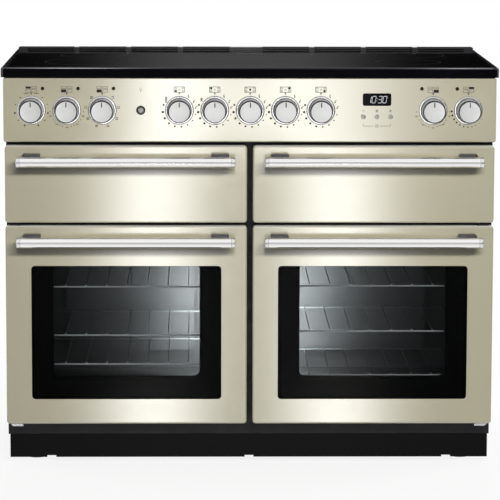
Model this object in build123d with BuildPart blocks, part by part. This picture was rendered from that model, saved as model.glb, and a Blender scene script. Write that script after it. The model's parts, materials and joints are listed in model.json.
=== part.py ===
"""Free-standing induction range cooker.

A five-zone hob over a control fascia, a grill and a slow-cook compartment behind drop-down doors,
and two ovens behind side-hung glazed doors. Millimetres: X runs to the right as seen from the front,
Y to the back and Z up. The origin lies on the floor, under the middle of the overall box.
"""

import os

from build123d import *

os.makedirs("parts", exist_ok=True)

# Heights, from the floor up
PLINTH_CLEARANCE = 12.0
PLINTH_HEIGHT = 52.0
DOOR_LIFT = 31.0
LOWER_DOOR_HEIGHT = 446.5
DOOR_GAP = 6.5
UPPER_DOOR_HEIGHT = 172.0
FASCIA_GAP = 8.0
FASCIA_HEIGHT = 142.5
HOB_SEAM = 0.5
HOB_EDGE = 22.0
VENT_RISE = 7.0

# Widths
WIDTH = 1100.0
FASCIA_INSET = 6.0
DOOR_INSET = 8.3
BODY_INSET = 9.0
PLINTH_INSET = 13.0
CENTRE_GAP = 12.4

# Depths behind the door faces
DEPTH = 600.0
HOB_OVERHANG = 4.0
SKIN_DEPTH = 22.0
DOOR_THICKNESS = 38.0
FRAME_SETBACK = 44.0
PLINTH_SETBACK = 40.0

# Sheet metal
SKIN = 1.5
SHEET = 1.2
FLANGE = 10.0

# Doors
DOOR_CORNER = 8.0
DOOR_EDGE = 4.0
INNER_INSET = 12.0
WINDOW_SIDE = 56.75
WINDOW_TOP = 89.5
WINDOW_BOTTOM = 56.4
WINDOW_CORNER = 8.0
PANE = 4.0
PANE_MARGIN = 12.0
VIEW_SIDE = 48.5
VIEW_BOTTOM = 47.0
VIEW_CORNER = 14.0

# Handles
HANDLE_REACH = 36.0
BAR_DIAMETER = 24.0
HANDLE_INSET = 26.75
HANDLE_DROP = 33.0
CAP_LENGTH = 8.0
CAP_CHAMFER = 2.0
CAP_SEAM = 0.3
BRACKET_INSET = 33.0
BRACKET_FOOT = 40.0
BRACKET_NOSE = 34.0
BRACKET_HEIGHT = 32.0

# Door hinges
PIVOT_INSET = 22.0
PIVOT_SETBACK = 15.0
PIVOT_PIN = 8.0
PIVOT_BUSH = 16.0
HINGE_PLATE = 3.0
HINGE_PLATE_WIDTH = 24.0
HINGE_TAB = 12.0
PLATE_NOSE = 8.0
PLATE_GAP = 0.5
FLAP_PIN_SETBACK = 10.0
FLAP_PIN_RISE = 12.0
FLAP_PIN = 5.0
FLAP_BUSH = 10.0
FLAP_ARM = 9.0

# Clearances
FIT = 0.05
SEAT = 0.1
EASE = 0.3
SWING = 0.7

# Compartments
OVEN_WIDTH = 440.0
OVEN_HEIGHT = 360.0
OVEN_DEPTH = 430.0
OVEN_LIFT = 45.0
UPPER_HEIGHT = 100.0
UPPER_DEPTH = 400.0
UPPER_LIFT = 42.0
LINER_CORNER = 14.0
FRAME_LAP = 12.0
SEAL_OFFSET = 3.0
SEAL_WIDTH = 8.0

# Oven furniture
LEFT_SHELVES = (218.0, 284.0, 394.0)
RIGHT_SHELVES = (193.0, 293.0, 396.0)
SHELF_BAR = 6.0
SHELF_WIRE = 3.2
SHELF_PITCH = 46.0
SHELF_WIRES = 9
SHELF_DEPTH = 350.0
SHELF_FRONT = 16.0
SHELF_SIDE = 6.0
RUNNER = 5.0
RUNNER_POST = 40.0
FAN_DIAMETER = 150.0
FAN_BLADES = 12
FAN_BLADE = 24.0
FAN_BLADE_RADIUS = 54.0
FAN_BLADE_LENGTH = 37.0
FAN_BLADE_LEAN = 30.0
FAN_DISC = 2.0
FAN_HUB = 26.0
FAN_SHAFT = 8.0
FAN_RUNNING_GAP = 8.0
FAN_COVER_WIDTH = 300.0
FAN_COVER_HEIGHT = 260.0
FAN_COVER_DEPTH = 46.0
FAN_COVER_SLOTS = 12
FAN_SLOT_RADIUS = 50.0
FAN_SLOT_LENGTH = 38.0
FAN_SLOT = 6.0
FAN_MOTOR = 76.0
FAN_MOTOR_LENGTH = 48.0
ELEMENT = 6.0
RING_RADIUS = 92.0
RING_LEG_SPAN = 40.0
ELEMENT_TAIL = 14.0
ELEMENT_RUNS = 6
ELEMENT_WIDTH = 330.0
ELEMENT_LENGTH = 280.0
ELEMENT_DROP = 8.0
PAN_SIDE = 20.0
PAN_DEPTH = 330.0
PAN_HEIGHT = 30.0
PAN_FRONT = 20.0
TRIVET_MARGIN = 8.0
TRIVET_BAR = 5.0
TRIVET_LEG = 12.0
TRIVET_WIRE = 3.0
TRIVET_WIRES = 10

# Hob
HOB_CORNER = 14.0
HOB_INNER_CORNER = 2.0
HOB_TOP_EDGE = 6.0
HOB_WALL = 5.0
HOB_RIM = 14.0
HOB_LEDGE = 16.0
LEDGE_SHEET = 2.0
GLASS = 6.0
GLASS_GAP = 0.4
GLASS_CORNER = 6.0
REAR_LAND = 4.0
VENT_BACK = 8.0
VENT_DEPTH = 30.0
VENT_END = 7.0
VENT_HOLE_END = 25.0
VENT_WALL = 1.5
VENT_EDGE = 2.5
VENT_CENTRE = 80.0
VENT_PITCH = 123.5
VENT_BRIDGE = 13.0
VENT_SLOT = 3.5
VENT_SILL = 0.8
VENT_SLOTS = 4
COIL_TRAY_DEPTH = 20.0
COIL_TRAY_LAP = 4.0
COIL_TRAY_FRONT = 10.0
COIL_TRAY_REAR = 40.0
COIL_HEIGHT = 16.0
COIL_EYE = 40.0
SIDE_COIL_X = 360.0
SIDE_COIL_Y = 112.0
LARGE_COIL = 200.0
SMALL_COIL = 150.0
CENTRE_COIL = 250.0

# Fascia and controls
FASCIA_EDGE = 3.0
FASCIA_CORNER = 5.0
KNOB_DROP = 72.0
KNOB_PITCH = 78.0
KNOB_MARGIN = 68.0
KNOB_DIAMETER = 50.0
KNOB_LENGTH = 45.0
KNOB_GAP = 1.0
POINTER_WIDTH = 3.0
POINTER_LENGTH = 11.0
POINTER_DEPTH = 0.6
POINTER_MARGIN = 4.0
SPINDLE = 6.0
BEZEL_DIAMETER = 64.0
BEZEL_BORE = 54.0
BEZEL_HEIGHT = 5.0
SWITCH_SIZE = 36.0
SWITCH_DEPTH = 28.0
SWITCH_COLLAR = 11.0
INDICATOR_X = 25.0
INDICATOR_DROP = 24.0
INDICATOR = 8.0
INDICATOR_STEM = 5.0
INDICATOR_RISE = 1.6
LIGHT_CAP = 12.4
LIGHT_RING = 20.5
LIGHT_RING_HEIGHT = 3.0
LIGHT_RISE = 5.0
LIGHT_TRAVEL = 3.0
LIGHT_SWITCH = 24.0
BUTTON_FLANGE = 1.5
BUTTON_LIP = 1.5
CLOCK_LENS_WIDTH = 63.0
CLOCK_LENS_HEIGHT = 27.5
CLOCK_LENS_CORNER = 4.5
CLOCK_LENS_RISE = 0.4
CLOCK_DROP = 48.0
CLOCK_MARGIN = 12.0
CLOCK_DEPTH = 30.0
CLOCK_BUTTON = 10.6
CLOCK_BUTTON_PITCH = 30.0
CLOCK_BUTTON_DROP = 86.0
CLOCK_BUTTON_RISE = 2.0
CLOCK_BUTTON_TRAVEL = 1.2

# Carcass
BASE_LIP = 20.0
PLINTH_RETURN = 30.0
NOTCH_WIDTH = 20.0
NOTCH_HEIGHT = 4.0
NOTCH_SIDE = 93.0
FOOT_PAD = 44.0
FOOT_PAD_HEIGHT = 9.0
FOOT_STEM = 12.0
FOOT_SIDE = 60.0
FOOT_FRONT = 70.0
FOOT_REAR = 50.0
LOUVRE_LENGTH = 150.0
LOUVRE_HEIGHT = 6.0
LOUVRE_PITCH = 16.0
LOUVRE_ROWS = 6
LOUVRE_COLUMNS = 4
LOUVRE_SPREAD = 240.0
LOUVRE_DROP = 90.0
TERMINAL_WIDTH = 140.0
TERMINAL_HEIGHT = 90.0
TERMINAL_DEPTH = 55.0
TERMINAL_SIDE = 161.0
GLAND_DIAMETER = 30.0
GLAND_BORE = 20.0

# Levels
BASE = PLINTH_CLEARANCE + PLINTH_HEIGHT
LOWER_BOTTOM = BASE + DOOR_LIFT
LOWER_TOP = LOWER_BOTTOM + LOWER_DOOR_HEIGHT
UPPER_BOTTOM = LOWER_TOP + DOOR_GAP
UPPER_TOP = UPPER_BOTTOM + UPPER_DOOR_HEIGHT
FASCIA_BOTTOM = UPPER_TOP + FASCIA_GAP
FASCIA_TOP = FASCIA_BOTTOM + FASCIA_HEIGHT
HOB_BOTTOM = FASCIA_TOP + HOB_SEAM
HOB_TOP = HOB_BOTTOM + HOB_EDGE
HOB_SEAT = HOB_TOP - GLASS - LEDGE_SHEET
KNOB_Z = FASCIA_TOP - KNOB_DROP
OVEN_FLOOR = LOWER_BOTTOM + OVEN_LIFT
OVEN_Z = OVEN_FLOOR + OVEN_HEIGHT / 2
UPPER_FLOOR = UPPER_BOTTOM + UPPER_LIFT
UPPER_Z = UPPER_FLOOR + UPPER_HEIGHT / 2
FRAME_TOP = FASCIA_BOTTOM + FRAME_LAP

# Planes across the depth
FACE = (HANDLE_REACH + BAR_DIAMETER / 2 - DEPTH) / 2
REAR = FACE + DEPTH
FRAME = FACE + FRAME_SETBACK
LINER_FRONT = FRAME + SHEET
OVEN_REAR = LINER_FRONT + OVEN_DEPTH
UPPER_REAR = LINER_FRONT + UPPER_DEPTH
BODY_REAR = REAR - HOB_WALL - EASE
BAR_Y = FACE - HANDLE_REACH
HOB_FRONT = FACE - HOB_OVERHANG
GLASS_FRONT = HOB_FRONT + HOB_RIM
VENT_FRONT = REAR - VENT_BACK - VENT_DEPTH
GLASS_REAR = VENT_FRONT - REAR_LAND
GLASS_Y = (GLASS_FRONT + GLASS_REAR) / 2
COIL_TRAY_Y0 = FRAME + COIL_TRAY_FRONT
COIL_TRAY_Y1 = GLASS_REAR - COIL_TRAY_REAR
COIL_TRAY_Y = (COIL_TRAY_Y0 + COIL_TRAY_Y1) / 2

# Places across the width
DOOR_OUTER = WIDTH / 2 - DOOR_INSET
DOOR_INNER = CENTRE_GAP / 2
DOOR_WIDTH = DOOR_OUTER - DOOR_INNER
DOOR_X = (DOOR_OUTER + DOOR_INNER) / 2
BODY_SIDE = WIDTH / 2 - BODY_INSET
GLASS_WIDTH = WIDTH - 2 * HOB_RIM
COIL_OPENING = GLASS_WIDTH - 2 * HOB_LEDGE
PIVOT_X = DOOR_OUTER - PIVOT_INSET
KNOB_OUTER = WIDTH / 2 - KNOB_MARGIN
PAN_WIDTH = OVEN_WIDTH - 2 * PAN_SIDE
TERMINAL_X = BODY_SIDE - TERMINAL_SIDE
LEFT = -1
RIGHT = 1

KNOBS = {
    "grill_knob": -KNOB_OUTER,
    "left_oven_temperature_knob": -KNOB_OUTER + KNOB_PITCH,
    "left_oven_function_knob": -KNOB_OUTER + 2 * KNOB_PITCH,
    "left_front_zone_knob": -2 * KNOB_PITCH,
    "left_rear_zone_knob": -KNOB_PITCH,
    "centre_zone_knob": 0,
    "right_rear_zone_knob": KNOB_PITCH,
    "right_front_zone_knob": 2 * KNOB_PITCH,
    "right_oven_temperature_knob": KNOB_OUTER - KNOB_PITCH,
    "slow_cook_knob": KNOB_OUTER,
}
LIGHT_X = (KNOBS["left_oven_function_knob"] + KNOBS["left_front_zone_knob"]) / 2
CLOCK_X = (KNOBS["right_front_zone_knob"] + KNOBS["right_oven_temperature_knob"]) / 2
INDICATORS = (
    KNOBS["grill_knob"] + INDICATOR_X,
    KNOBS["left_oven_temperature_knob"] + INDICATOR_X,
    KNOBS["left_oven_function_knob"] + INDICATOR_X,
    KNOBS["right_oven_temperature_knob"] - INDICATOR_X,
    KNOBS["slow_cook_knob"] - INDICATOR_X,
)


def facing(depth):
    """A plane parallel to the doors at that depth, drawn as seen from the front."""
    return Plane.XZ.offset(-depth)


def pressing(x, z, width, height, corner, edge, depth):
    """A sheet pressed into a shallow pan with a rounded front edge, its back open."""
    with BuildPart() as cavity:
        with BuildSketch(facing(FACE + SKIN)):
            with Locations((x, z)):
                RectangleRounded(width - 2 * SKIN, height - 2 * SKIN, corner - SKIN)
        extrude(amount=-depth)
    with BuildPart() as pan:
        with BuildSketch(facing(FACE)):
            with Locations((x, z)):
                RectangleRounded(width, height, corner)
        extrude(amount=-depth)
        fillet(pan.faces().sort_by(Axis.Y)[0].edges(), edge)
        add(cavity.part, mode=Mode.SUBTRACT)
    return pan.part


def keep(piece, name):
    """Label a finished piece and write it to a file of its own."""
    piece.label = name
    export_step(piece, f"parts/{name}.step")


# Base tray: a pan between the side panels, behind the front frame
with BuildPart() as base_tray:
    with BuildSketch(Plane.XY.offset(BASE)):
        with Locations((0, (LINER_FRONT + BODY_REAR - SHEET) / 2)):
            Rectangle(2 * (BODY_SIDE - SHEET), BODY_REAR - SHEET - LINER_FRONT)
    extrude(amount=BASE_LIP)
    offset(amount=-SHEET, openings=base_tray.faces().sort_by(Axis.Z)[-1])
keep(base_tray.part, "base_tray")

# Side panels: plain sheets with a top flange that the hob frame rests on
with BuildPart() as side_panels:
    with BuildSketch(facing(LINER_FRONT)):
        with BuildLine():
            Polyline(
                (BODY_SIDE, BASE),
                (BODY_SIDE, HOB_SEAT),
                (BODY_SIDE - FLANGE, HOB_SEAT),
                (BODY_SIDE - FLANGE, HOB_SEAT - SHEET),
                (BODY_SIDE - SHEET, HOB_SEAT - SHEET),
                (BODY_SIDE - SHEET, BASE),
                close=True,
            )
        make_face()
    extrude(amount=-(BODY_REAR - SHEET - LINER_FRONT))
    mirror(about=Plane.YZ)
keep(side_panels.part, "side_panels")

# Rear panel: air slots near the top and the hole for the cable gland
GLAND_Z = BASE + BASE_LIP + GLAND_DIAMETER
with BuildPart() as rear_panel:
    with BuildSketch(facing(BODY_REAR - SHEET)):
        with Locations((0, (BASE + HOB_SEAT) / 2)):
            Rectangle(2 * BODY_SIDE, HOB_SEAT - BASE)
        with Locations((0, HOB_SEAT - LOUVRE_DROP)):
            with GridLocations(LOUVRE_SPREAD, LOUVRE_PITCH, LOUVRE_COLUMNS, LOUVRE_ROWS):
                Rectangle(LOUVRE_LENGTH, LOUVRE_HEIGHT, mode=Mode.SUBTRACT)
        with Locations((TERMINAL_X, GLAND_Z)):
            Circle(GLAND_DIAMETER / 2 + SEAT, mode=Mode.SUBTRACT)
    extrude(amount=-SHEET)
keep(rear_panel.part, "rear_panel")

# Front frame: one plate round the four compartments, folded back along its top
with BuildPart() as front_frame:
    with BuildSketch(facing(FRAME)):
        with Locations((0, (BASE + FRAME_TOP) / 2)):
            Rectangle(2 * BODY_SIDE, FRAME_TOP - BASE)
        with Locations((-DOOR_X, OVEN_Z), (DOOR_X, OVEN_Z)):
            RectangleRounded(OVEN_WIDTH, OVEN_HEIGHT, LINER_CORNER, mode=Mode.SUBTRACT)
        with Locations((-DOOR_X, UPPER_Z), (DOOR_X, UPPER_Z)):
            RectangleRounded(OVEN_WIDTH, UPPER_HEIGHT, LINER_CORNER, mode=Mode.SUBTRACT)
    extrude(amount=-SHEET)
    with BuildSketch(facing(LINER_FRONT)):
        with Locations((0, FRAME_TOP - SHEET / 2)):
            Rectangle(2 * (BODY_SIDE - SHEET), SHEET)
    extrude(amount=-FLANGE)
keep(front_frame.part, "front_frame")

# Plinth: a channel under the carcass, open below and behind, notched for its three screws
PLINTH_FRONT = FACE + PLINTH_SETBACK
PLINTH_HALF = WIDTH / 2 - PLINTH_INSET
with BuildPart() as plinth:
    with BuildSketch(facing(PLINTH_FRONT)):
        with Locations((0, PLINTH_CLEARANCE + PLINTH_HEIGHT / 2)):
            Rectangle(2 * PLINTH_HALF, PLINTH_HEIGHT)
    extrude(amount=-PLINTH_RETURN)
    open_faces = [plinth.faces().sort_by(Axis.Z)[0], plinth.faces().sort_by(Axis.Y)[-1]]
    offset(amount=-SHEET, openings=open_faces)
    with BuildSketch(facing(PLINTH_FRONT)):
        with Locations((0, PLINTH_CLEARANCE)):
            with GridLocations(PLINTH_HALF - NOTCH_SIDE, 0, 3, 1):
                Rectangle(NOTCH_WIDTH, 2 * NOTCH_HEIGHT)
    extrude(amount=-SHEET, mode=Mode.SUBTRACT)
keep(plinth.part, "plinth")

# Levelling feet: round pads on six-sided stems under the base tray
FOOT_X = BODY_SIDE - FOOT_SIDE
FOOT_Y0 = FRAME + FOOT_FRONT
FOOT_Y1 = BODY_REAR - FOOT_REAR
FEET = [(x, y) for x in (-FOOT_X, FOOT_X) for y in (FOOT_Y0, FOOT_Y1)]
with BuildPart() as levelling_feet:
    with BuildSketch(Plane.XY):
        with Locations(*FEET):
            Circle(FOOT_PAD / 2)
    extrude(amount=FOOT_PAD_HEIGHT)
    with BuildSketch(Plane.XY.offset(FOOT_PAD_HEIGHT)):
        with Locations(*FEET):
            RegularPolygon(FOOT_STEM / 2, 6)
    extrude(amount=BASE - FOOT_PAD_HEIGHT)
keep(levelling_feet.part, "levelling_feet")

# Terminal box: stands on the base tray, with the cable gland through the rear panel
with BuildPart() as terminal_box:
    with BuildSketch(Plane.XY.offset(BASE + SHEET)):
        with Locations((TERMINAL_X, BODY_REAR - SHEET * 2 - TERMINAL_DEPTH / 2)):
            Rectangle(TERMINAL_WIDTH, TERMINAL_DEPTH)
    extrude(amount=TERMINAL_HEIGHT)
    with BuildSketch(facing(BODY_REAR - SHEET * 2)):
        with Locations((TERMINAL_X, GLAND_Z)):
            Circle(GLAND_DIAMETER / 2)
    extrude(amount=-SHEET * 2)
    with BuildSketch(facing(BODY_REAR)):
        with Locations((TERMINAL_X, GLAND_Z)):
            Circle(GLAND_BORE / 2)
    extrude(amount=TERMINAL_DEPTH / 2, mode=Mode.SUBTRACT)
keep(terminal_box.part, "terminal_box")


# Liners: open-fronted boxes whose flange lies behind the front frame
def liner(x, z, height, depth, cuts):
    """One enamelled compartment, with the holes that its fan or element passes through."""
    with BuildPart() as box:
        with BuildSketch(facing(LINER_FRONT)):
            with Locations((x, z)):
                RectangleRounded(OVEN_WIDTH + 2 * SHEET, height + 2 * SHEET, LINER_CORNER + SHEET)
        extrude(amount=-(depth + SHEET))
        offset(amount=-SHEET, openings=box.faces().sort_by(Axis.Y)[0])
        with BuildSketch(facing(LINER_FRONT)):
            with Locations((x, z)):
                RectangleRounded(OVEN_WIDTH + 2 * FLANGE, height + 2 * FLANGE, LINER_CORNER + FLANGE)
                RectangleRounded(OVEN_WIDTH, height, LINER_CORNER, mode=Mode.SUBTRACT)
        extrude(amount=-SHEET)
        if cuts:
            with BuildSketch(facing(LINER_FRONT + depth)):
                for place, size in cuts:
                    with Locations(place):
                        Rectangle(size, size)
            extrude(amount=-SHEET, mode=Mode.SUBTRACT)
    return box.part


LEG_HOLE = ELEMENT + 2 * EASE
SHAFT_HOLE = FAN_SHAFT + 2 * EASE
for side, name in ((LEFT, "left_oven"), (RIGHT, "right_oven")):
    x = side * DOOR_X
    leg_z = OVEN_Z - RING_RADIUS
    oven_cuts = [
        ((x, OVEN_Z), SHAFT_HOLE),
        ((x - RING_LEG_SPAN / 2, leg_z), LEG_HOLE),
        ((x + RING_LEG_SPAN / 2, leg_z), LEG_HOLE),
    ]
    keep(liner(x, OVEN_Z, OVEN_HEIGHT, OVEN_DEPTH, oven_cuts), f"{name}_liner")

GRILL_ELEMENT_Z = UPPER_FLOOR + UPPER_HEIGHT - ELEMENT_DROP - ELEMENT / 2
grill_cuts = [
    ((-DOOR_X - ELEMENT_WIDTH / 2, GRILL_ELEMENT_Z), LEG_HOLE),
    ((-DOOR_X + ELEMENT_WIDTH / 2, GRILL_ELEMENT_Z), LEG_HOLE),
]
keep(liner(-DOOR_X, UPPER_Z, UPPER_HEIGHT, UPPER_DEPTH, grill_cuts), "grill_liner")
keep(liner(DOOR_X, UPPER_Z, UPPER_HEIGHT, UPPER_DEPTH, []), "slow_cook_liner")

# Shelf supports: a ladder of rods on each oven wall, one rung under each shelf
SHELF_FRONT_Y = LINER_FRONT + SHELF_FRONT
SHELF_Y = SHELF_FRONT_Y + SHELF_DEPTH / 2
with BuildPart() as shelf_supports:
    for side, shelves in ((LEFT, LEFT_SHELVES), (RIGHT, RIGHT_SHELVES)):
        for wall in (LEFT, RIGHT):
            wall_x = side * DOOR_X + wall * (OVEN_WIDTH / 2 - SEAT - RUNNER / 2)
            rung_x = wall_x - wall * RUNNER
            with BuildSketch(Plane.XY.offset(shelves[0] - 2 * RUNNER)):
                with Locations((wall_x, SHELF_Y)):
                    with GridLocations(0, SHELF_DEPTH - 2 * RUNNER_POST, 1, 2):
                        Rectangle(RUNNER, RUNNER)
            extrude(amount=shelves[-1] - shelves[0] + 2 * RUNNER)
            for level in shelves:
                with BuildSketch(Plane.XY.offset(level - SEAT - RUNNER)):
                    with Locations((rung_x, SHELF_Y)):
                        Rectangle(RUNNER, SHELF_DEPTH)
                extrude(amount=RUNNER)
keep(shelf_supports.part, "shelf_supports")

# Oven shelves: a bar frame with wires laid from front to back across it
SHELF_WIDTH = OVEN_WIDTH - 2 * SHELF_SIDE
with BuildPart() as oven_shelves:
    for side, shelves in ((LEFT, LEFT_SHELVES), (RIGHT, RIGHT_SHELVES)):
        for level in shelves:
            with BuildSketch(Plane.XY.offset(level)):
                with Locations((side * DOOR_X, SHELF_Y)):
                    Rectangle(SHELF_WIDTH, SHELF_DEPTH)
                    Rectangle(
                        SHELF_WIDTH - 2 * SHELF_BAR, SHELF_DEPTH - 2 * SHELF_BAR, mode=Mode.SUBTRACT
                    )
            extrude(amount=SHELF_BAR)
            with BuildSketch(Plane.XY.offset(level + SHELF_BAR)):
                with Locations((side * DOOR_X, SHELF_Y)):
                    with GridLocations(SHELF_PITCH, 0, SHELF_WIRES, 1):
                        Rectangle(SHELF_WIRE, SHELF_DEPTH - SHELF_BAR)
            extrude(amount=SHELF_WIRE)
keep(oven_shelves.part, "oven_shelves")

# Fan covers: slotted pans standing on the rear walls of the ovens
with BuildPart() as fan_covers:
    for x in (-DOOR_X, DOOR_X):
        with BuildSketch(facing(OVEN_REAR)):
            with Locations((x, OVEN_Z)):
                RectangleRounded(FAN_COVER_WIDTH, FAN_COVER_HEIGHT, LINER_CORNER)
        extrude(amount=FAN_COVER_DEPTH)
        with BuildSketch(facing(OVEN_REAR)):
            with Locations((x, OVEN_Z)):
                RectangleRounded(
                    FAN_COVER_WIDTH - 2 * SHEET, FAN_COVER_HEIGHT - 2 * SHEET, LINER_CORNER - SHEET
                )
        extrude(amount=FAN_COVER_DEPTH - SHEET, mode=Mode.SUBTRACT)
        with BuildSketch(facing(OVEN_REAR - FAN_COVER_DEPTH)):
            with Locations((x, OVEN_Z)):
                with PolarLocations(FAN_SLOT_RADIUS, FAN_COVER_SLOTS):
                    Rectangle(FAN_SLOT_LENGTH, FAN_SLOT)
        extrude(amount=-SHEET, mode=Mode.SUBTRACT)
keep(fan_covers.part, "fan_covers")

# Oven fans: bladed discs on shafts that run through the rear wall into the motors
FAN_DISC_Y = OVEN_REAR - FAN_RUNNING_GAP
for side, name in ((LEFT, "left_oven_fan"), (RIGHT, "right_oven_fan")):
    fan_place = (side * DOOR_X, OVEN_Z)
    with BuildPart() as oven_fan:
        with BuildSketch(facing(FAN_DISC_Y)):
            with Locations(fan_place):
                Circle(FAN_DIAMETER / 2)
        extrude(amount=FAN_DISC)
        with BuildSketch(facing(FAN_DISC_Y - FAN_DISC)):
            with Locations(fan_place):
                Circle(FAN_HUB / 2)
                with PolarLocations(FAN_BLADE_RADIUS, FAN_BLADES):
                    Rectangle(FAN_BLADE_LENGTH, FAN_DISC, rotation=FAN_BLADE_LEAN)
        extrude(amount=FAN_BLADE)
        with BuildSketch(facing(FAN_DISC_Y)):
            with Locations(fan_place):
                Circle(FAN_SHAFT / 2)
        extrude(amount=-(FAN_RUNNING_GAP + SHEET + FAN_MOTOR_LENGTH / 2))
    keep(oven_fan.part, name)

# Fan motors: round housings against the outside of the rear walls
with BuildPart() as fan_motors:
    for x in (-DOOR_X, DOOR_X):
        with BuildSketch(facing(OVEN_REAR + SHEET)):
            with Locations((x, OVEN_Z)):
                Circle(FAN_MOTOR / 2)
        extrude(amount=-FAN_MOTOR_LENGTH)
        with BuildSketch(facing(OVEN_REAR + SHEET)):
            with Locations((x, OVEN_Z)):
                Circle(FAN_SHAFT / 2 + FIT)
        extrude(amount=-(FAN_MOTOR_LENGTH / 2 + EASE), mode=Mode.SUBTRACT)
keep(fan_motors.part, "fan_motors")

# Heating elements: a ring round each fan, one under the grill ceiling, one under the slow-cook floor
RING_Y = OVEN_REAR - FAN_COVER_DEPTH / 2
ELEMENT_PITCH = ELEMENT_WIDTH / (ELEMENT_RUNS - 1)
ELEMENT_FRONT = LINER_FRONT + (UPPER_DEPTH - ELEMENT_LENGTH) / 2


def serpentine(x, tail):
    """Corner points of an element that runs to and fro, with both of its tails at the rear."""
    points = []
    for run in range(ELEMENT_RUNS):
        run_x = x - ELEMENT_WIDTH / 2 + run * ELEMENT_PITCH
        ends = [(run_x, ELEMENT_FRONT + ELEMENT_LENGTH), (run_x, ELEMENT_FRONT)]
        points += ends if run % 2 == 0 else ends[::-1]
    points[0] = (points[0][0], tail)
    points[-1] = (points[-1][0], tail)
    return points


with BuildPart() as heating_elements:
    for x in (-DOOR_X, DOOR_X):
        with BuildSketch(facing(RING_Y)):
            with Locations((x, OVEN_Z)):
                Circle(RING_RADIUS + ELEMENT / 2)
                Circle(RING_RADIUS - ELEMENT / 2, mode=Mode.SUBTRACT)
        extrude(amount=ELEMENT / 2, both=True)
        with BuildSketch(facing(RING_Y)):
            with Locations((x, OVEN_Z - RING_RADIUS)):
                with GridLocations(RING_LEG_SPAN, 0, 2, 1):
                    Rectangle(ELEMENT, ELEMENT)
        extrude(amount=-(OVEN_REAR + SHEET + ELEMENT_TAIL - RING_Y))
    with BuildSketch(Plane.XY.offset(GRILL_ELEMENT_Z - ELEMENT / 2)):
        with BuildLine():
            Polyline(*serpentine(-DOOR_X, UPPER_REAR + SHEET + ELEMENT_TAIL))
        trace(line_width=ELEMENT)
    extrude(amount=ELEMENT)
    with BuildSketch(Plane.XY.offset(UPPER_FLOOR - SHEET)):
        with BuildLine():
            Polyline(*serpentine(DOOR_X, UPPER_REAR))
        trace(line_width=ELEMENT)
    extrude(amount=-ELEMENT)
keep(heating_elements.part, "heating_elements")

# Grill pan: a shallow tray on the compartment floor
PAN_Y = LINER_FRONT + PAN_FRONT + PAN_DEPTH / 2
with BuildPart() as grill_pan:
    with BuildSketch(Plane.XY.offset(UPPER_FLOOR)):
        with Locations((-DOOR_X, PAN_Y)):
            RectangleRounded(PAN_WIDTH, PAN_DEPTH, LINER_CORNER)
    extrude(amount=PAN_HEIGHT)
    offset(amount=-SHEET, openings=grill_pan.faces().sort_by(Axis.Z)[-1])
keep(grill_pan.part, "grill_pan")

# Grill trivet: a wire rack standing in the pan
TRIVET_WIDTH = PAN_WIDTH - 2 * (SHEET + TRIVET_MARGIN)
TRIVET_DEPTH = PAN_DEPTH - 2 * (SHEET + TRIVET_MARGIN)
TRIVET_PITCH = (TRIVET_WIDTH - TRIVET_BAR) / (TRIVET_WIRES + 1)
with BuildPart() as grill_trivet:
    with BuildSketch(Plane.XY.offset(UPPER_FLOOR + SHEET)):
        with Locations((-DOOR_X, PAN_Y)):
            with GridLocations(TRIVET_WIDTH - TRIVET_BAR, TRIVET_DEPTH - TRIVET_BAR, 2, 2):
                Rectangle(TRIVET_BAR, TRIVET_BAR)
    extrude(amount=TRIVET_LEG)
    with BuildSketch(Plane.XY.offset(UPPER_FLOOR + SHEET + TRIVET_LEG)):
        with Locations((-DOOR_X, PAN_Y)):
            Rectangle(TRIVET_WIDTH, TRIVET_DEPTH)
            Rectangle(
                TRIVET_WIDTH - 2 * TRIVET_BAR, TRIVET_DEPTH - 2 * TRIVET_BAR, mode=Mode.SUBTRACT
            )
            with GridLocations(TRIVET_PITCH, 0, TRIVET_WIRES, 1):
                Rectangle(TRIVET_WIRE, TRIVET_DEPTH - TRIVET_BAR)
    extrude(amount=TRIVET_BAR)
keep(grill_trivet.part, "grill_trivet")

# Hob frame: a rounded black tray rim with a recess for the glass and an air slot at the rear
HOB_DEPTH = REAR - HOB_FRONT
HOB_Y = (REAR + HOB_FRONT) / 2
VENT_Y = VENT_FRONT + VENT_DEPTH / 2
VENT_LENGTH = WIDTH - 2 * VENT_END
with BuildPart() as hob_frame:
    with BuildSketch(Plane.XY.offset(HOB_BOTTOM)):
        with Locations((0, HOB_Y)):
            RectangleRounded(WIDTH, HOB_DEPTH, HOB_CORNER)
    extrude(amount=HOB_EDGE)
    fillet(hob_frame.edges().group_by(Axis.Z)[-1], HOB_TOP_EDGE)
    with BuildSketch(Plane.XY.offset(HOB_BOTTOM)):
        with Locations((0, HOB_Y)):
            RectangleRounded(WIDTH - 2 * HOB_WALL, HOB_DEPTH - 2 * HOB_WALL, HOB_INNER_CORNER)
    extrude(amount=HOB_SEAT - HOB_BOTTOM, mode=Mode.SUBTRACT)
    with BuildSketch(Plane.XY.offset(HOB_TOP)):
        with Locations((0, GLASS_Y)):
            RectangleRounded(GLASS_WIDTH, GLASS_REAR - GLASS_FRONT, GLASS_CORNER)
    extrude(amount=-GLASS, mode=Mode.SUBTRACT)
    with BuildSketch(Plane.XY.offset(HOB_SEAT)):
        with Locations((0, COIL_TRAY_Y)):
            Rectangle(COIL_OPENING, COIL_TRAY_Y1 - COIL_TRAY_Y0)
        with Locations((0, VENT_Y)):
            Rectangle(VENT_LENGTH - 2 * VENT_HOLE_END, VENT_DEPTH - 2 * HOB_WALL)
    extrude(amount=HOB_EDGE, mode=Mode.SUBTRACT)
keep(hob_frame.part, "hob_frame")

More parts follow.
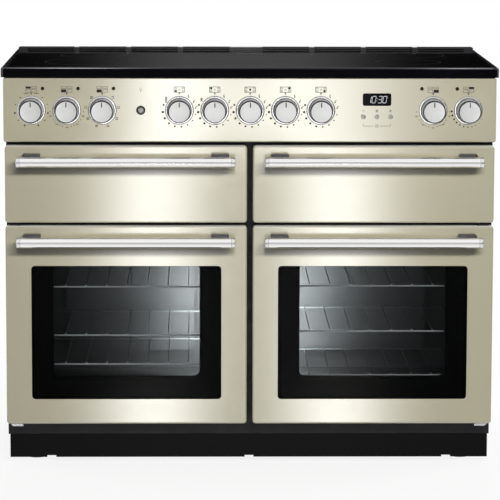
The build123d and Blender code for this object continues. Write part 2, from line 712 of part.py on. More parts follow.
# Hob glass: drops into the recess, level with the rim
with BuildPart() as hob_glass:
    with BuildSketch(Plane.XY.offset(HOB_TOP - GLASS)):
        with Locations((0, GLASS_Y)):
            RectangleRounded(
                GLASS_WIDTH - 2 * GLASS_GAP,
                GLASS_REAR - GLASS_FRONT - 2 * GLASS_GAP,
                GLASS_CORNER - GLASS_GAP,
            )
    extrude(amount=GLASS)
keep(hob_glass.part, "hob_glass")

# Rear vent trim: a low folded cap over the air slot, slotted along its front
VENT_SLOT_LENGTH = VENT_PITCH - VENT_BRIDGE
with BuildPart() as rear_vent_trim:
    with BuildSketch(Plane.XY.offset(HOB_TOP)):
        with Locations((0, VENT_Y)):
            Rectangle(VENT_LENGTH, VENT_DEPTH)
    extrude(amount=VENT_RISE)
    fillet(rear_vent_trim.edges().group_by(Axis.Z)[-1], VENT_EDGE)
    offset(amount=-VENT_WALL, openings=rear_vent_trim.faces().sort_by(Axis.Z)[0])
    with BuildSketch(facing(VENT_FRONT)):
        for side in (LEFT, RIGHT):
            for slot in range(VENT_SLOTS):
                reach = VENT_CENTRE / 2 + VENT_SLOT_LENGTH / 2 + slot * VENT_PITCH
                with Locations((side * reach, HOB_TOP + VENT_SLOT / 2 + VENT_SILL)):
                    Rectangle(VENT_SLOT_LENGTH, VENT_SLOT)
    extrude(amount=-VENT_WALL, mode=Mode.SUBTRACT)
keep(rear_vent_trim.part, "rear_vent_trim")

# Coil tray: hangs under the ledge of the hob frame
with BuildPart() as coil_tray:
    with BuildSketch(Plane.XY.offset(HOB_SEAT)):
        with Locations((0, COIL_TRAY_Y)):
            Rectangle(
                COIL_OPENING + 2 * COIL_TRAY_LAP, COIL_TRAY_Y1 - COIL_TRAY_Y0 + 2 * COIL_TRAY_LAP
            )
    extrude(amount=-COIL_TRAY_DEPTH)
    offset(amount=-SHEET, openings=coil_tray.faces().sort_by(Axis.Z)[-1])
keep(coil_tray.part, "coil_tray")

# Induction coils: five flat windings standing on the tray
COILS = (
    (-SIDE_COIL_X, COIL_TRAY_Y - SIDE_COIL_Y, LARGE_COIL),
    (-SIDE_COIL_X, COIL_TRAY_Y + SIDE_COIL_Y, SMALL_COIL),
    (0, COIL_TRAY_Y, CENTRE_COIL),
    (SIDE_COIL_X, COIL_TRAY_Y + SIDE_COIL_Y, LARGE_COIL),
    (SIDE_COIL_X, COIL_TRAY_Y - SIDE_COIL_Y, SMALL_COIL),
)
with BuildPart() as induction_coils:
    with BuildSketch(Plane.XY.offset(HOB_SEAT - COIL_TRAY_DEPTH + SHEET)):
        for x, y, diameter in COILS:
            with Locations((x, y)):
                Circle(diameter / 2)
                Circle(COIL_EYE / 2, mode=Mode.SUBTRACT)
    extrude(amount=COIL_HEIGHT)
keep(induction_coils.part, "induction_coils")

# Fascia: a folded panel with holes for the controls, resting against the front frame
FASCIA_Z = FASCIA_BOTTOM + FASCIA_HEIGHT / 2
LENS_PLACE = (CLOCK_X, FASCIA_TOP - CLOCK_DROP)
CLOCK_BUTTON_Z = FASCIA_TOP - CLOCK_BUTTON_DROP
CLOCK_BUTTONS = {
    "clock_minus_button": CLOCK_X - CLOCK_BUTTON_PITCH,
    "clock_mode_button": CLOCK_X,
    "clock_plus_button": CLOCK_X + CLOCK_BUTTON_PITCH,
}
KNOB_PLACES = [(x, KNOB_Z) for x in KNOBS.values()]
INDICATOR_PLACES = [(x, FASCIA_TOP - INDICATOR_DROP) for x in INDICATORS]
BUTTON_PLACES = [(x, CLOCK_BUTTON_Z) for x in CLOCK_BUTTONS.values()]
with BuildPart() as fascia:
    add(
        pressing(
            0, FASCIA_Z, WIDTH - 2 * FASCIA_INSET, FASCIA_HEIGHT, FASCIA_CORNER, FASCIA_EDGE, FRAME_SETBACK
        )
    )
    with BuildSketch(facing(FACE)):
        with Locations(*KNOB_PLACES):
            Rectangle(SWITCH_COLLAR + 2 * SEAT, SWITCH_COLLAR + 2 * SEAT)
        with Locations(*INDICATOR_PLACES):
            Rectangle(INDICATOR_STEM + 2 * SEAT, INDICATOR_STEM + 2 * SEAT)
        with Locations(*BUTTON_PLACES):
            Circle(CLOCK_BUTTON / 2 + FIT)
        with Locations((LIGHT_X, KNOB_Z)):
            Circle(LIGHT_CAP / 2 + FIT)
        with Locations(LENS_PLACE):
            RectangleRounded(
                CLOCK_LENS_WIDTH + 2 * SEAT, CLOCK_LENS_HEIGHT + 2 * SEAT, CLOCK_LENS_CORNER + SEAT
            )
    extrude(amount=-SKIN, mode=Mode.SUBTRACT)
keep(fascia.part, "fascia")

# Control bezels: a chrome ring round each knob and the ring of the light button
with BuildPart() as control_bezels:
    with BuildSketch(facing(FACE)):
        with Locations(*KNOB_PLACES):
            Circle(BEZEL_DIAMETER / 2)
    extrude(amount=BEZEL_HEIGHT)
    with BuildSketch(facing(FACE)):
        with Locations(*KNOB_PLACES):
            Circle(BEZEL_BORE / 2)
    extrude(amount=BEZEL_HEIGHT, mode=Mode.SUBTRACT)
    with BuildSketch(facing(FACE)):
        with Locations((LIGHT_X, KNOB_Z)):
            Circle(LIGHT_RING / 2)
            Circle(LIGHT_CAP / 2 + EASE, mode=Mode.SUBTRACT)
    extrude(amount=LIGHT_RING_HEIGHT)
keep(control_bezels.part, "control_bezels")

# Control switches: rotary switches with collars through the fascia, and the cup behind the light button
LIGHT_CUP = BUTTON_FLANGE + LIGHT_TRAVEL + EASE
with BuildPart() as control_switches:
    with BuildSketch(facing(FACE + SKIN)):
        with Locations(*KNOB_PLACES):
            Rectangle(SWITCH_SIZE, SWITCH_SIZE)
        with Locations((LIGHT_X, KNOB_Z)):
            Rectangle(LIGHT_SWITCH, LIGHT_SWITCH)
    extrude(amount=-SWITCH_DEPTH)
    with BuildSketch(facing(FACE + SKIN)):
        with Locations(*KNOB_PLACES):
            Rectangle(SWITCH_COLLAR, SWITCH_COLLAR)
    extrude(amount=SKIN)
    with BuildSketch(facing(FACE)):
        with Locations(*KNOB_PLACES):
            Circle(SPINDLE / 2 + FIT)
    extrude(amount=-(SKIN + SWITCH_DEPTH / 2 + EASE), mode=Mode.SUBTRACT)
    with BuildSketch(facing(FACE + SKIN)):
        with Locations((LIGHT_X, KNOB_Z)):
            Circle(LIGHT_CAP / 2 + BUTTON_LIP + EASE)
    extrude(amount=-LIGHT_CUP, mode=Mode.SUBTRACT)
keep(control_switches.part, "control_switches")

# Knobs: turned caps with a pointer cut in the face, each with its spindle in the bore of a switch
KNOB_BACK = FACE - KNOB_GAP
KNOB_FRONT = KNOB_BACK - KNOB_LENGTH
POINTER_Z = KNOB_Z + KNOB_DIAMETER / 2 - POINTER_MARGIN - POINTER_LENGTH / 2
for name, x in KNOBS.items():
    with BuildPart() as knob:
        with BuildSketch(facing(KNOB_BACK)):
            with Locations((x, KNOB_Z)):
                Circle(KNOB_DIAMETER / 2)
        extrude(amount=KNOB_LENGTH)
        with BuildSketch(facing(KNOB_FRONT)):
            with Locations((x, POINTER_Z)):
                Rectangle(POINTER_WIDTH, POINTER_LENGTH)
        extrude(amount=-POINTER_DEPTH, mode=Mode.SUBTRACT)
        with BuildSketch(facing(KNOB_BACK)):
            with Locations((x, KNOB_Z)):
                Circle(SPINDLE / 2)
        extrude(amount=-(KNOB_GAP + SKIN + SWITCH_DEPTH / 2))
    keep(knob.part, name)

# Indicator lenses: small round lenses pushed into the fascia
with BuildPart() as indicator_lenses:
    with BuildSketch(facing(FACE)):
        with Locations(*INDICATOR_PLACES):
            Circle(INDICATOR / 2)
    extrude(amount=INDICATOR_RISE)
    with BuildSketch(facing(FACE)):
        with Locations(*INDICATOR_PLACES):
            Rectangle(INDICATOR_STEM, INDICATOR_STEM)
    extrude(amount=-SKIN)
keep(indicator_lenses.part, "indicator_lenses")


# Push buttons: caps that slide in the fascia, with a lip behind it that stops them
def push_button(place, diameter, rise):
    """One button at rest, its lip against the back of the fascia."""
    with BuildPart() as button:
        with BuildSketch(facing(FACE + SKIN)):
            with Locations(place):
                Circle(diameter / 2)
        extrude(amount=SKIN + rise)
        with BuildSketch(facing(FACE + SKIN)):
            with Locations(place):
                Circle(diameter / 2 + BUTTON_LIP)
        extrude(amount=-BUTTON_FLANGE)
    return button.part


keep(push_button((LIGHT_X, KNOB_Z), LIGHT_CAP, LIGHT_RISE), "light_button")
for name, x in CLOCK_BUTTONS.items():
    keep(push_button((x, CLOCK_BUTTON_Z), CLOCK_BUTTON, CLOCK_BUTTON_RISE), name)

# Clock display: the lens in the fascia window and the housing behind it and the buttons
CLOCK_STEP = CLOCK_BUTTON_Z + CLOCK_BUTTON / 2 + BUTTON_LIP + SWING
CLOCK_TOP = FASCIA_TOP - CLOCK_DROP + CLOCK_LENS_HEIGHT / 2 + CLOCK_MARGIN
CLOCK_FLOOR = CLOCK_BUTTON_Z - CLOCK_BUTTON / 2 - CLOCK_MARGIN
BUTTON_ROOM = SKIN + BUTTON_FLANGE + CLOCK_BUTTON_TRAVEL + EASE
CLOCK_WIDTH = 2 * CLOCK_BUTTON_PITCH + CLOCK_BUTTON + 2 * CLOCK_MARGIN
with BuildPart() as clock_display:
    with BuildSketch(Plane.YZ.offset(CLOCK_X - CLOCK_WIDTH / 2)):
        with BuildLine():
            Polyline(
                (FACE + SKIN, CLOCK_TOP),
                (FACE + SKIN, CLOCK_STEP),
                (FACE + BUTTON_ROOM, CLOCK_STEP),
                (FACE + BUTTON_ROOM, CLOCK_FLOOR),
                (FACE + CLOCK_DEPTH, CLOCK_FLOOR),
                (FACE + CLOCK_DEPTH, CLOCK_TOP),
                close=True,
            )
        make_face()
    extrude(amount=CLOCK_WIDTH)
    with BuildSketch(facing(FACE + SKIN - SEAT)):
        with Locations(LENS_PLACE):
            RectangleRounded(CLOCK_LENS_WIDTH, CLOCK_LENS_HEIGHT, CLOCK_LENS_CORNER)
    extrude(amount=SKIN - SEAT + CLOCK_LENS_RISE)
keep(clock_display.part, "clock_display")

# Door seals: a soft ring round each opening, just short of the closed doors
with BuildPart() as door_seals:
    for z, height in ((OVEN_Z, OVEN_HEIGHT), (UPPER_Z, UPPER_HEIGHT)):
        with BuildSketch(facing(FRAME)):
            with Locations((-DOOR_X, z), (DOOR_X, z)):
                Rectangle(
                    OVEN_WIDTH + 2 * (SEAL_OFFSET + SEAL_WIDTH), height + 2 * (SEAL_OFFSET + SEAL_WIDTH)
                )
                Rectangle(OVEN_WIDTH + 2 * SEAL_OFFSET, height + 2 * SEAL_OFFSET, mode=Mode.SUBTRACT)
        extrude(amount=FRAME_SETBACK - DOOR_THICKNESS - EASE)
keep(door_seals.part, "door_seals")


# Door pressings, inner panels, panes and handles
def door_skin(x, bottom, height):
    """The enamelled outer pressing of a door, open at the back."""
    return pressing(x, bottom + height / 2, DOOR_WIDTH, height, DOOR_CORNER, DOOR_EDGE, SKIN_DEPTH)


def door_pan(x, bottom, height):
    """The inner panel of a door, a pan whose rim stands on the back of the pressing."""
    with BuildPart() as pan:
        with BuildSketch(facing(FACE + SKIN)):
            with Locations((x, bottom + height / 2)):
                Rectangle(DOOR_WIDTH - 2 * INNER_INSET, height - 2 * INNER_INSET)
        extrude(amount=-(DOOR_THICKNESS - SKIN))
        offset(amount=-SHEET, openings=pan.faces().sort_by(Axis.Y)[0])
    return pan.part


def door_handle(x, z):
    """A tube handle: two stand-off brackets, the bar that lies in their saddles and its end caps."""
    handle_end = DOOR_WIDTH / 2 - HANDLE_INSET
    bar_end = handle_end - CAP_LENGTH - CAP_SEAM
    with BuildPart() as handle:
        for end in (LEFT, RIGHT):
            bracket_x = x + end * (handle_end - BRACKET_INSET)
            with BuildSketch(Plane.XY.offset(z)):
                with BuildLine():
                    Polyline(
                        (bracket_x - BRACKET_FOOT / 2, FACE),
                        (bracket_x + BRACKET_FOOT / 2, FACE),
                        (bracket_x + BRACKET_NOSE / 2, BAR_Y),
                        (bracket_x - BRACKET_NOSE / 2, BAR_Y),
                        close=True,
                    )
                make_face()
            extrude(amount=BRACKET_HEIGHT / 2, both=True)
        with BuildSketch(Plane.YZ.offset(x)):
            with Locations((BAR_Y, z)):
                Circle(BAR_DIAMETER / 2 + SEAT)
        extrude(amount=handle_end, both=True, mode=Mode.SUBTRACT)
        with BuildSketch(Plane.YZ.offset(x)):
            with Locations((BAR_Y, z)):
                Circle(BAR_DIAMETER / 2)
        extrude(amount=bar_end, both=True)
        for end in (LEFT, RIGHT):
            with BuildSketch(Plane.YZ.offset(x + end * (bar_end + CAP_SEAM))):
                with Locations((BAR_Y, z)):
                    Circle(BAR_DIAMETER / 2)
            extrude(amount=end * CAP_LENGTH)
        cap_faces = handle.faces().sort_by(Axis.X)
        chamfer(cap_faces[0].edges() + cap_faces[-1].edges(), CAP_CHAMFER)
    return handle.part


WINDOW_WIDTH = DOOR_WIDTH - 2 * WINDOW_SIDE
WINDOW_HEIGHT = LOWER_DOOR_HEIGHT - WINDOW_TOP - WINDOW_BOTTOM
WINDOW_Z = LOWER_BOTTOM + WINDOW_BOTTOM + WINDOW_HEIGHT / 2
VIEW_WIDTH = WINDOW_WIDTH - 2 * VIEW_SIDE
VIEW_HEIGHT = WINDOW_HEIGHT - VIEW_BOTTOM
VIEW_Z = WINDOW_Z + VIEW_BOTTOM / 2
PIVOT_Y = FACE + PIVOT_SETBACK
BUSH_LENGTH = INNER_INSET - SKIN - EASE

# Oven doors: glazed, hung on upright pins at their outer edges
for side, name in ((LEFT, "left_oven"), (RIGHT, "right_oven")):
    x = side * DOOR_X
    pivot = (side * PIVOT_X, PIVOT_Y)
    with BuildPart() as oven_door_panel:
        add(door_skin(x, LOWER_BOTTOM, LOWER_DOOR_HEIGHT))
        with BuildSketch(facing(FACE)):
            with Locations((x, WINDOW_Z)):
                RectangleRounded(WINDOW_WIDTH, WINDOW_HEIGHT, WINDOW_CORNER)
        extrude(amount=-SKIN, mode=Mode.SUBTRACT)
        with BuildSketch(Plane.XY.offset(LOWER_BOTTOM)):
            with Locations(pivot):
                Circle(PIVOT_PIN / 2 + FIT)
        extrude(amount=LOWER_DOOR_HEIGHT, mode=Mode.SUBTRACT)
    keep(oven_door_panel.part, f"{name}_door_panel")

    with BuildPart() as oven_door_inner:
        add(door_pan(x, LOWER_BOTTOM, LOWER_DOOR_HEIGHT))
        with BuildSketch(facing(FACE + DOOR_THICKNESS)):
            with Locations((x, VIEW_Z)):
                RectangleRounded(VIEW_WIDTH, VIEW_HEIGHT, VIEW_CORNER)
        extrude(amount=SHEET, mode=Mode.SUBTRACT)
        for level, way in ((LOWER_BOTTOM + SKIN, 1), (LOWER_TOP - SKIN, -1)):
            with BuildSketch(Plane.XY.offset(level)):
                with Locations(pivot):
                    Rectangle(PIVOT_BUSH, PIVOT_BUSH)
                    Circle(PIVOT_PIN / 2 + FIT, mode=Mode.SUBTRACT)
            extrude(amount=way * BUSH_LENGTH)
    keep(oven_door_inner.part, f"{name}_door_inner")

    with BuildPart() as oven_door_glass:
        with BuildSketch(facing(FACE + SKIN)):
            with Locations((x, WINDOW_Z)):
                RectangleRounded(
                    WINDOW_WIDTH + 2 * PANE_MARGIN, WINDOW_HEIGHT + 2 * PANE_MARGIN, WINDOW_CORNER
                )
        extrude(amount=-PANE)
        with BuildSketch(facing(FACE + DOOR_THICKNESS - SHEET)):
            with Locations((x, VIEW_Z)):
                RectangleRounded(
                    VIEW_WIDTH + 2 * PANE_MARGIN, VIEW_HEIGHT + 2 * PANE_MARGIN, WINDOW_CORNER
                )
        extrude(amount=PANE)
    keep(oven_door_glass.part, f"{name}_door_glass")
    keep(door_handle(x, LOWER_TOP - HANDLE_DROP), f"{name}_door_handle")

# Upper doors: drop-down flaps on level pins near their bottom corners
FLAP_PIN_Y = FACE + FLAP_PIN_SETBACK
FLAP_PIN_Z = UPPER_BOTTOM + FLAP_PIN_RISE
FLAP_ARM_X = DOOR_WIDTH / 2 - INNER_INSET + SWING
FLAP_BUSH_X = FLAP_ARM_X + HINGE_PLATE + SWING
FLAP_BUSH_LENGTH = DOOR_WIDTH / 2 - SKIN - EASE - FLAP_BUSH_X
NOTCH_FRONT = FLAP_PIN_SETBACK - FLAP_ARM / 2 - SWING
for side, name in ((LEFT, "grill"), (RIGHT, "slow_cook")):
    x = side * DOOR_X
    with BuildPart() as flap_panel:
        add(door_skin(x, UPPER_BOTTOM, UPPER_DOOR_HEIGHT))
        with BuildSketch(Plane.YZ.offset(x)):
            with Locations((FLAP_PIN_Y, FLAP_PIN_Z)):
                Circle(FLAP_PIN / 2 + FIT)
        extrude(amount=DOOR_WIDTH / 2, both=True, mode=Mode.SUBTRACT)
        with BuildSketch(Plane.XY.offset(UPPER_BOTTOM)):
            with Locations((x, FACE + (NOTCH_FRONT + SKIN_DEPTH) / 2)):
                with GridLocations(2 * FLAP_ARM_X + HINGE_PLATE, 0, 2, 1):
                    Rectangle(HINGE_PLATE + 2 * SWING, SKIN_DEPTH - NOTCH_FRONT)
        extrude(amount=FLAP_PIN_RISE - FLAP_ARM / 2, mode=Mode.SUBTRACT)
    keep(flap_panel.part, f"{name}_door_panel")

    with BuildPart() as flap_inner:
        add(door_pan(x, UPPER_BOTTOM, UPPER_DOOR_HEIGHT))
        for end in (LEFT, RIGHT):
            with BuildSketch(Plane.YZ.offset(x + end * FLAP_BUSH_X)):
                with Locations((FLAP_PIN_Y, FLAP_PIN_Z)):
                    Rectangle(FLAP_BUSH, FLAP_BUSH)
                    Circle(FLAP_PIN / 2 + FIT, mode=Mode.SUBTRACT)
            extrude(amount=end * FLAP_BUSH_LENGTH)
    keep(flap_inner.part, f"{name}_door_inner")
    keep(door_handle(x, UPPER_TOP - HANDLE_DROP), f"{name}_door_handle")

# Door hinges: plates and arms on the front frame that carry the door pins
with BuildPart() as door_hinges:
    for side in (LEFT, RIGHT):
        for level, way in ((LOWER_BOTTOM - PLATE_GAP, -1), (LOWER_TOP + PLATE_GAP, 1)):
            with BuildSketch(Plane.XY.offset(level)):
                with Locations((side * PIVOT_X, (PIVOT_Y - PLATE_NOSE + FRAME) / 2)):
                    Rectangle(HINGE_PLATE_WIDTH, FRAME - PIVOT_Y + PLATE_NOSE)
            extrude(amount=way * HINGE_PLATE)
            with BuildSketch(Plane.XY.offset(level)):
                with Locations((side * PIVOT_X, FRAME - HINGE_PLATE / 2)):
                    Rectangle(HINGE_PLATE_WIDTH, HINGE_PLATE)
            extrude(amount=way * HINGE_TAB)
            with BuildSketch(Plane.XY.offset(level)):
                with Locations((side * PIVOT_X, PIVOT_Y)):
                    Circle(PIVOT_PIN / 2)
            extrude(amount=-way * (PLATE_GAP + SKIN + BUSH_LENGTH - EASE))
        for end in (LEFT, RIGHT):
            arm_x = side * DOOR_X + end * FLAP_ARM_X
            with BuildSketch(Plane.YZ.offset(arm_x)):
                with Locations(((FLAP_PIN_Y - FLAP_ARM / 2 + FRAME) / 2, FLAP_PIN_Z)):
                    Rectangle(FRAME - FLAP_PIN_Y + FLAP_ARM / 2, FLAP_ARM)
            extrude(amount=end * HINGE_PLATE)
            with BuildSketch(Plane.YZ.offset(arm_x)):
                with Locations((FLAP_PIN_Y, FLAP_PIN_Z)):
                    Circle(FLAP_PIN / 2)
            extrude(amount=end * (DOOR_WIDTH / 2 - FLAP_ARM_X - SWING))
keep(door_hinges.part, "door_hinges")
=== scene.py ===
"""Finishes, turned controls, printed dials and stage for an induction range cooker."""

import json
import math
from typing import NamedTuple

import bmesh
import bpy
from bpy.props import FloatProperty, FloatVectorProperty, PointerProperty
from mathutils import Matrix, Quaternion, Vector

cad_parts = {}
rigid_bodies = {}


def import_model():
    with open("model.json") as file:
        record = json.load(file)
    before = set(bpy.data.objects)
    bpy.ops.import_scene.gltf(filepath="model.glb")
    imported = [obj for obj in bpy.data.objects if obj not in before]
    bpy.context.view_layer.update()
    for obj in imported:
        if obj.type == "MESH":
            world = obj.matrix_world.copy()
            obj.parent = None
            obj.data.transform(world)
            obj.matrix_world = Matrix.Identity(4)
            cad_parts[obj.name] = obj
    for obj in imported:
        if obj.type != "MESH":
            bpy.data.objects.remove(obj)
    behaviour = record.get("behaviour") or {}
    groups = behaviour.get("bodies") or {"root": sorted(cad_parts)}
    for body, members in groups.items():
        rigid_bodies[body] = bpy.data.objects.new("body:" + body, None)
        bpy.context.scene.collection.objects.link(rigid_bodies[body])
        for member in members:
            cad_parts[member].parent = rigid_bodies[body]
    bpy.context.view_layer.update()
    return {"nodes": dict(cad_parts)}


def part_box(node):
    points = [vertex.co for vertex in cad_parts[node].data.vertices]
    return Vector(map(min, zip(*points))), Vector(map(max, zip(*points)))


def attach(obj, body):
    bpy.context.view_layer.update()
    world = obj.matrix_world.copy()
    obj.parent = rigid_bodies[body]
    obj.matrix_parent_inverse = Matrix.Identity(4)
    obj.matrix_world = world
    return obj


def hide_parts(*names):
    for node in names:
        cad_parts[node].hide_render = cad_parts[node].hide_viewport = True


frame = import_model()

bl_info = {
    "name": "Induction Range Cooker",
    "version": (1, 0, 0),
    "blender": (4, 5, 0),
    "location": "3D View > Sidebar > Cooker",
    "description": "Dresses the packed cooker with its finishes, controls, printed dials and stage",
    "category": "Object",
}

MM = 0.001
CARCASS = "carcass"

# Places taken from the frame
FASCIA_LOW, FASCIA_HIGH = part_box("fascia")
FACE = FASCIA_LOW.y
HOB_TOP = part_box("hob_glass")[1].z
KNOB_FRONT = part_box("grill_knob")[0].y
BEZEL_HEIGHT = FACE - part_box("control_bezels")[0].y
LENS_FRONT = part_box("clock_display")[0].y

OVEN_DOORS = ("left_oven_door", "right_oven_door")
DOORS = OVEN_DOORS + ("grill_door", "slow_cook_door")
ZONE_KNOBS = (
    "left_front_zone_knob",
    "left_rear_zone_knob",
    "centre_zone_knob",
    "right_rear_zone_knob",
    "right_front_zone_knob",
)
KNOBS = (
    "grill_knob",
    "left_oven_temperature_knob",
    "left_oven_function_knob",
    *ZONE_KNOBS,
    "right_oven_temperature_knob",
    "slow_cook_knob",
)
CLOCK_BUTTONS = ("clock_minus_button", "clock_mode_button", "clock_plus_button")


def length(name, description, millimetres):
    """A size that a user may change, kept in metres."""
    return FloatProperty(name=name, description=description, default=millimetres * MM, unit="LENGTH")


def number(name, description, value):
    """A plain number that a user may change."""
    return FloatProperty(name=name, description=description, default=value)


def wattage(name, description, watts):
    """The power of a lamp that a user may change."""
    return FloatProperty(name=name, description=description, default=watts, unit="POWER")


def tilt(name, description, degrees):
    """An angle that a user may change, kept in radians."""
    return FloatProperty(name=name, description=description, default=math.radians(degrees), subtype="ANGLE")


def colour(name, description, value):
    """A linear colour that a user may change."""
    return FloatVectorProperty(
        name=name, description=description, default=value, subtype="COLOR", size=3, min=0.0, max=1.0
    )


class CookerFinishes(bpy.types.PropertyGroup):
    """Colours of the cooker's surfaces."""

    enamel: colour("Door enamel", "Cream enamel on the doors and the fascia", (0.52, 0.482, 0.335))
    hob_trim: colour("Hob trim", "Black enamel round the hob glass", (0.004, 0.004, 0.006))
    hob_glass: colour("Hob glass", "Black ceramic glass", (0.002, 0.002, 0.0022))
    body: colour("Body paint", "Charcoal paint on the frame and the sides", (0.009, 0.009, 0.0105))
    plinth: colour("Plinth paint", "Black paint on the plinth", (0.002, 0.002, 0.0022))
    lining: colour("Oven lining", "Grey enamel inside the ovens", (0.062, 0.066, 0.067))
    metal: colour("Satin metal", "Brushed metal of the handles and the wires", (0.84, 0.835, 0.83))
    knob: colour("Knob metal", "Spun metal of the knob faces", (0.672, 0.668, 0.664))
    chrome: colour("Bright chrome", "Polished end caps of the handles", (0.74, 0.74, 0.75))
    bracket: colour("Handle bracket", "Dark grey stand-offs of the handles", (0.06, 0.06, 0.068))
    ink: colour("Ink", "Black print on the fascia", (0.012, 0.012, 0.012))
    pale_ink: colour("Pale ink", "Fine grey outlines on the fascia", (0.055, 0.052, 0.046))
    digits: colour("Clock digits", "Lit figures of the clock", (0.66, 0.66, 0.68))
    lens: colour("Indicator lens", "Unlit indicator lenses", (0.02, 0.006, 0.005))
    glass_tint: colour("Door glass", "Tint of the door panes", (0.815, 0.835, 0.84))


class CookerControls(bpy.types.PropertyGroup):
    """Sizes of the controls and their print."""

    knob_diameter: length("Knob", "Diameter of a knob", 50.0)
    knob_face: length("Knob face", "Diameter of the satin face of a knob", 45.0)
    knob_edge: length("Knob edge", "Depth of the bevel round the face", 1.8)
    knob_lift: length("Knob lift", "Gap between a knob and the fascia", 1.0)
    knob_dish: length("Knob dish", "How far the face is hollowed", 0.5)
    knob_rim: length("Knob rim", "Depth of the dark rim behind the face", 13.0)
    pointer_width: length("Pointer width", "Width of the pointer line", 2.6)
    pointer_length: length("Pointer length", "Length of the pointer line", 10.5)
    pointer_margin: length("Pointer margin", "Gap from the edge of the face to the pointer", 2.0)
    spindle: length("Spindle", "Diameter of the spindle behind a knob", 6.0)
    bezel_diameter: length("Bezel", "Outer diameter of a bezel", 64.0)
    bezel_bore: length("Bezel bore", "Inner diameter of a bezel", 54.0)
    bar_diameter: length("Handle bar", "Diameter of a handle's tube", 24.0)
    light_ring: length("Light ring", "Outer diameter of the light button's ring", 20.5)
    light_ring_height: length("Light ring height", "How far that ring stands out", 3.0)
    light_cap: length("Light cap", "Diameter of the light button", 12.4)
    dial_radius: length("Dial radius", "Radius of the marks round a knob", 36.8)
    ink_depth: length("Ink depth", "Thickness of the print", 0.08)
    symbol_drop: length("Symbol drop", "Height of the symbols below the top of the fascia", 26.2)
    symbol_width: length("Symbol width", "Width of an oven or hob symbol", 24.5)
    symbol_height: length("Symbol height", "Height of an oven or hob symbol", 13.0)
    line: length("Line", "Width of a fine printed line", 0.8)


class CookerStage(bpy.types.PropertyGroup):
    """Camera, light and floor."""

    camera_reach: length("Camera reach", "Distance from the doors to the camera", 6500.0)
    camera_x: length("Camera X", "Sideways place of the camera", -115.7)
    camera_height: length("Camera height", "Height of the camera", 1372.6)
    camera_tilt: tilt("Camera tilt", "Downward tilt", 7.751)
    camera_yaw: tilt("Camera yaw", "Turn to the right", 1.024)
    camera_roll: tilt("Camera roll", "Turn about the line of sight", 0.14)
    lens: number("Lens", "Focal length in millimetres", 212.82)
    key_power: wattage("Key power", "Long strip in front, above the camera", 290.0)
    side_power: wattage("Side power", "Panel beyond each side", 45.0)
    rear_power: wattage("Rear power", "Panel above and behind", 90.0)
    oven_power: wattage("Oven power", "Lamp in each oven", 2.3)
    oven_spread: tilt("Oven spread", "Angle over which an oven lamp shines", 150.0)
    ambient: number("Ambient", "Strength of the white surroundings", 0.04)
    card_level: number("Card level", "Brightness of the front cards between their glows", 0.45)
    card_glow: number("Card glow", "Brightness of the glows on the front cards", 6.8)
    glow_width: length("Glow width", "Spread of each glow along the lower front card", 105.0)
    left_glow: length("Left glow", "Sideways place of the left glow on that card", -251.0)
    right_glow: length("Right glow", "Sideways place of the right glow on that card", 309.0)
    upper_level: number("Upper card level", "Brightness of the card above the front cards", 1.1)
    ceiling_level: number("Ceiling level", "Brightness of the card overhead", 0.3)
    right_flag_level: number("Right flag level", "Brightness of the flag beyond the right side", 0.06)
    rear_flag_level: number("Rear flag level", "Brightness of the flag behind the hob", 0.003)
    hob_glow: number("Hob glow", "Brightness that the hob glass mirrors at its middle", 0.073)
    hob_glow_width: length("Hob glow width", "Spread of that brightness", 165.0)
    glint_level: number("Glint level", "Brightness of the glints on the edge of the hob", 9.0)
    flag_reach: length("Flag reach", "Distance of the handle flags from the doors", 20.0)
    flag_height: length("Flag height", "Height of the handle flags", 22.0)
    flag_level: number("Flag level", "Brightness of the handle flags", 0.1)
    tube_flag_reach: length("Tube flag reach", "Distance of the tube flags from the handles", 20.0)
    tube_flag_height: length("Tube flag height", "Height of the tube flags", 21.0)
    tube_flag_drop: length("Tube flag drop", "Height of the tube flags below the tubes' axes", 2.5)
    tube_flag_level: number("Tube flag level", "Brightness of the tube flags", 0.62)
    floor_lift: number("Floor lift", "Share of plain white in the floor", 0.84)
    floor_radius: length("Floor", "Radius of the floor", 6000.0)
    fade_start: length("Fade start", "Where the floor starts to fade into the background", 900.0)
    fade_end: length("Fade end", "Where the floor has faded out", 2600.0)


def controls():
    return bpy.context.scene.cooker_controls


# Shader building blocks


def join(tree, made, inputs):
    """Set the inputs of a shader node, and link those that come from another node."""
    for socket, value in inputs.items():
        if isinstance(value, bpy.types.NodeSocket):
            tree.links.new(value, made.inputs[socket])
        else:
            made.inputs[socket].default_value = value


def add_node(tree, kind, inputs=None, **settings):
    """A new shader node with its settings and its inputs."""
    made = tree.nodes.new(f"ShaderNode{kind}")
    for name, value in settings.items():
        setattr(made, name, value)
    join(tree, made, inputs or {})
    return made


def own_place(tree):
    """Places on a piece, in its own metres."""
    return add_node(tree, "TexCoord").outputs["Object"]


def grain(tree, scale, stretch=(1.0, 1.0, 1.0)):
    """Noise in the piece's own metres, drawn out along the axes whose stretch is small."""
    mapping = add_node(tree, "Mapping", {"Vector": own_place(tree), "Scale": stretch})
    noise = add_node(tree, "TexNoise", {"Vector": mapping.outputs["Vector"], "Scale": scale, "Detail": 2.0})
    return noise.outputs["Fac"]


def cells(tree, scale):
    """Random cells, as of crystals in zinc or specks in enamel."""
    return add_node(tree, "TexVoronoi", {"Vector": own_place(tree), "Scale": scale}).outputs


def spread(tree, factor, low, high, start=0.3, end=0.7):
    """Map the useful part of a noise onto a range of values."""
    limits = {"From Min": start, "From Max": end, "To Min": low, "To Max": high}
    return add_node(tree, "MapRange", {"Value": factor, **limits}).outputs["Result"]


def compute(tree, operation, *values):
    """A math node on numbers and sockets."""
    return add_node(tree, "Math", dict(enumerate(values)), operation=operation).outputs["Value"]


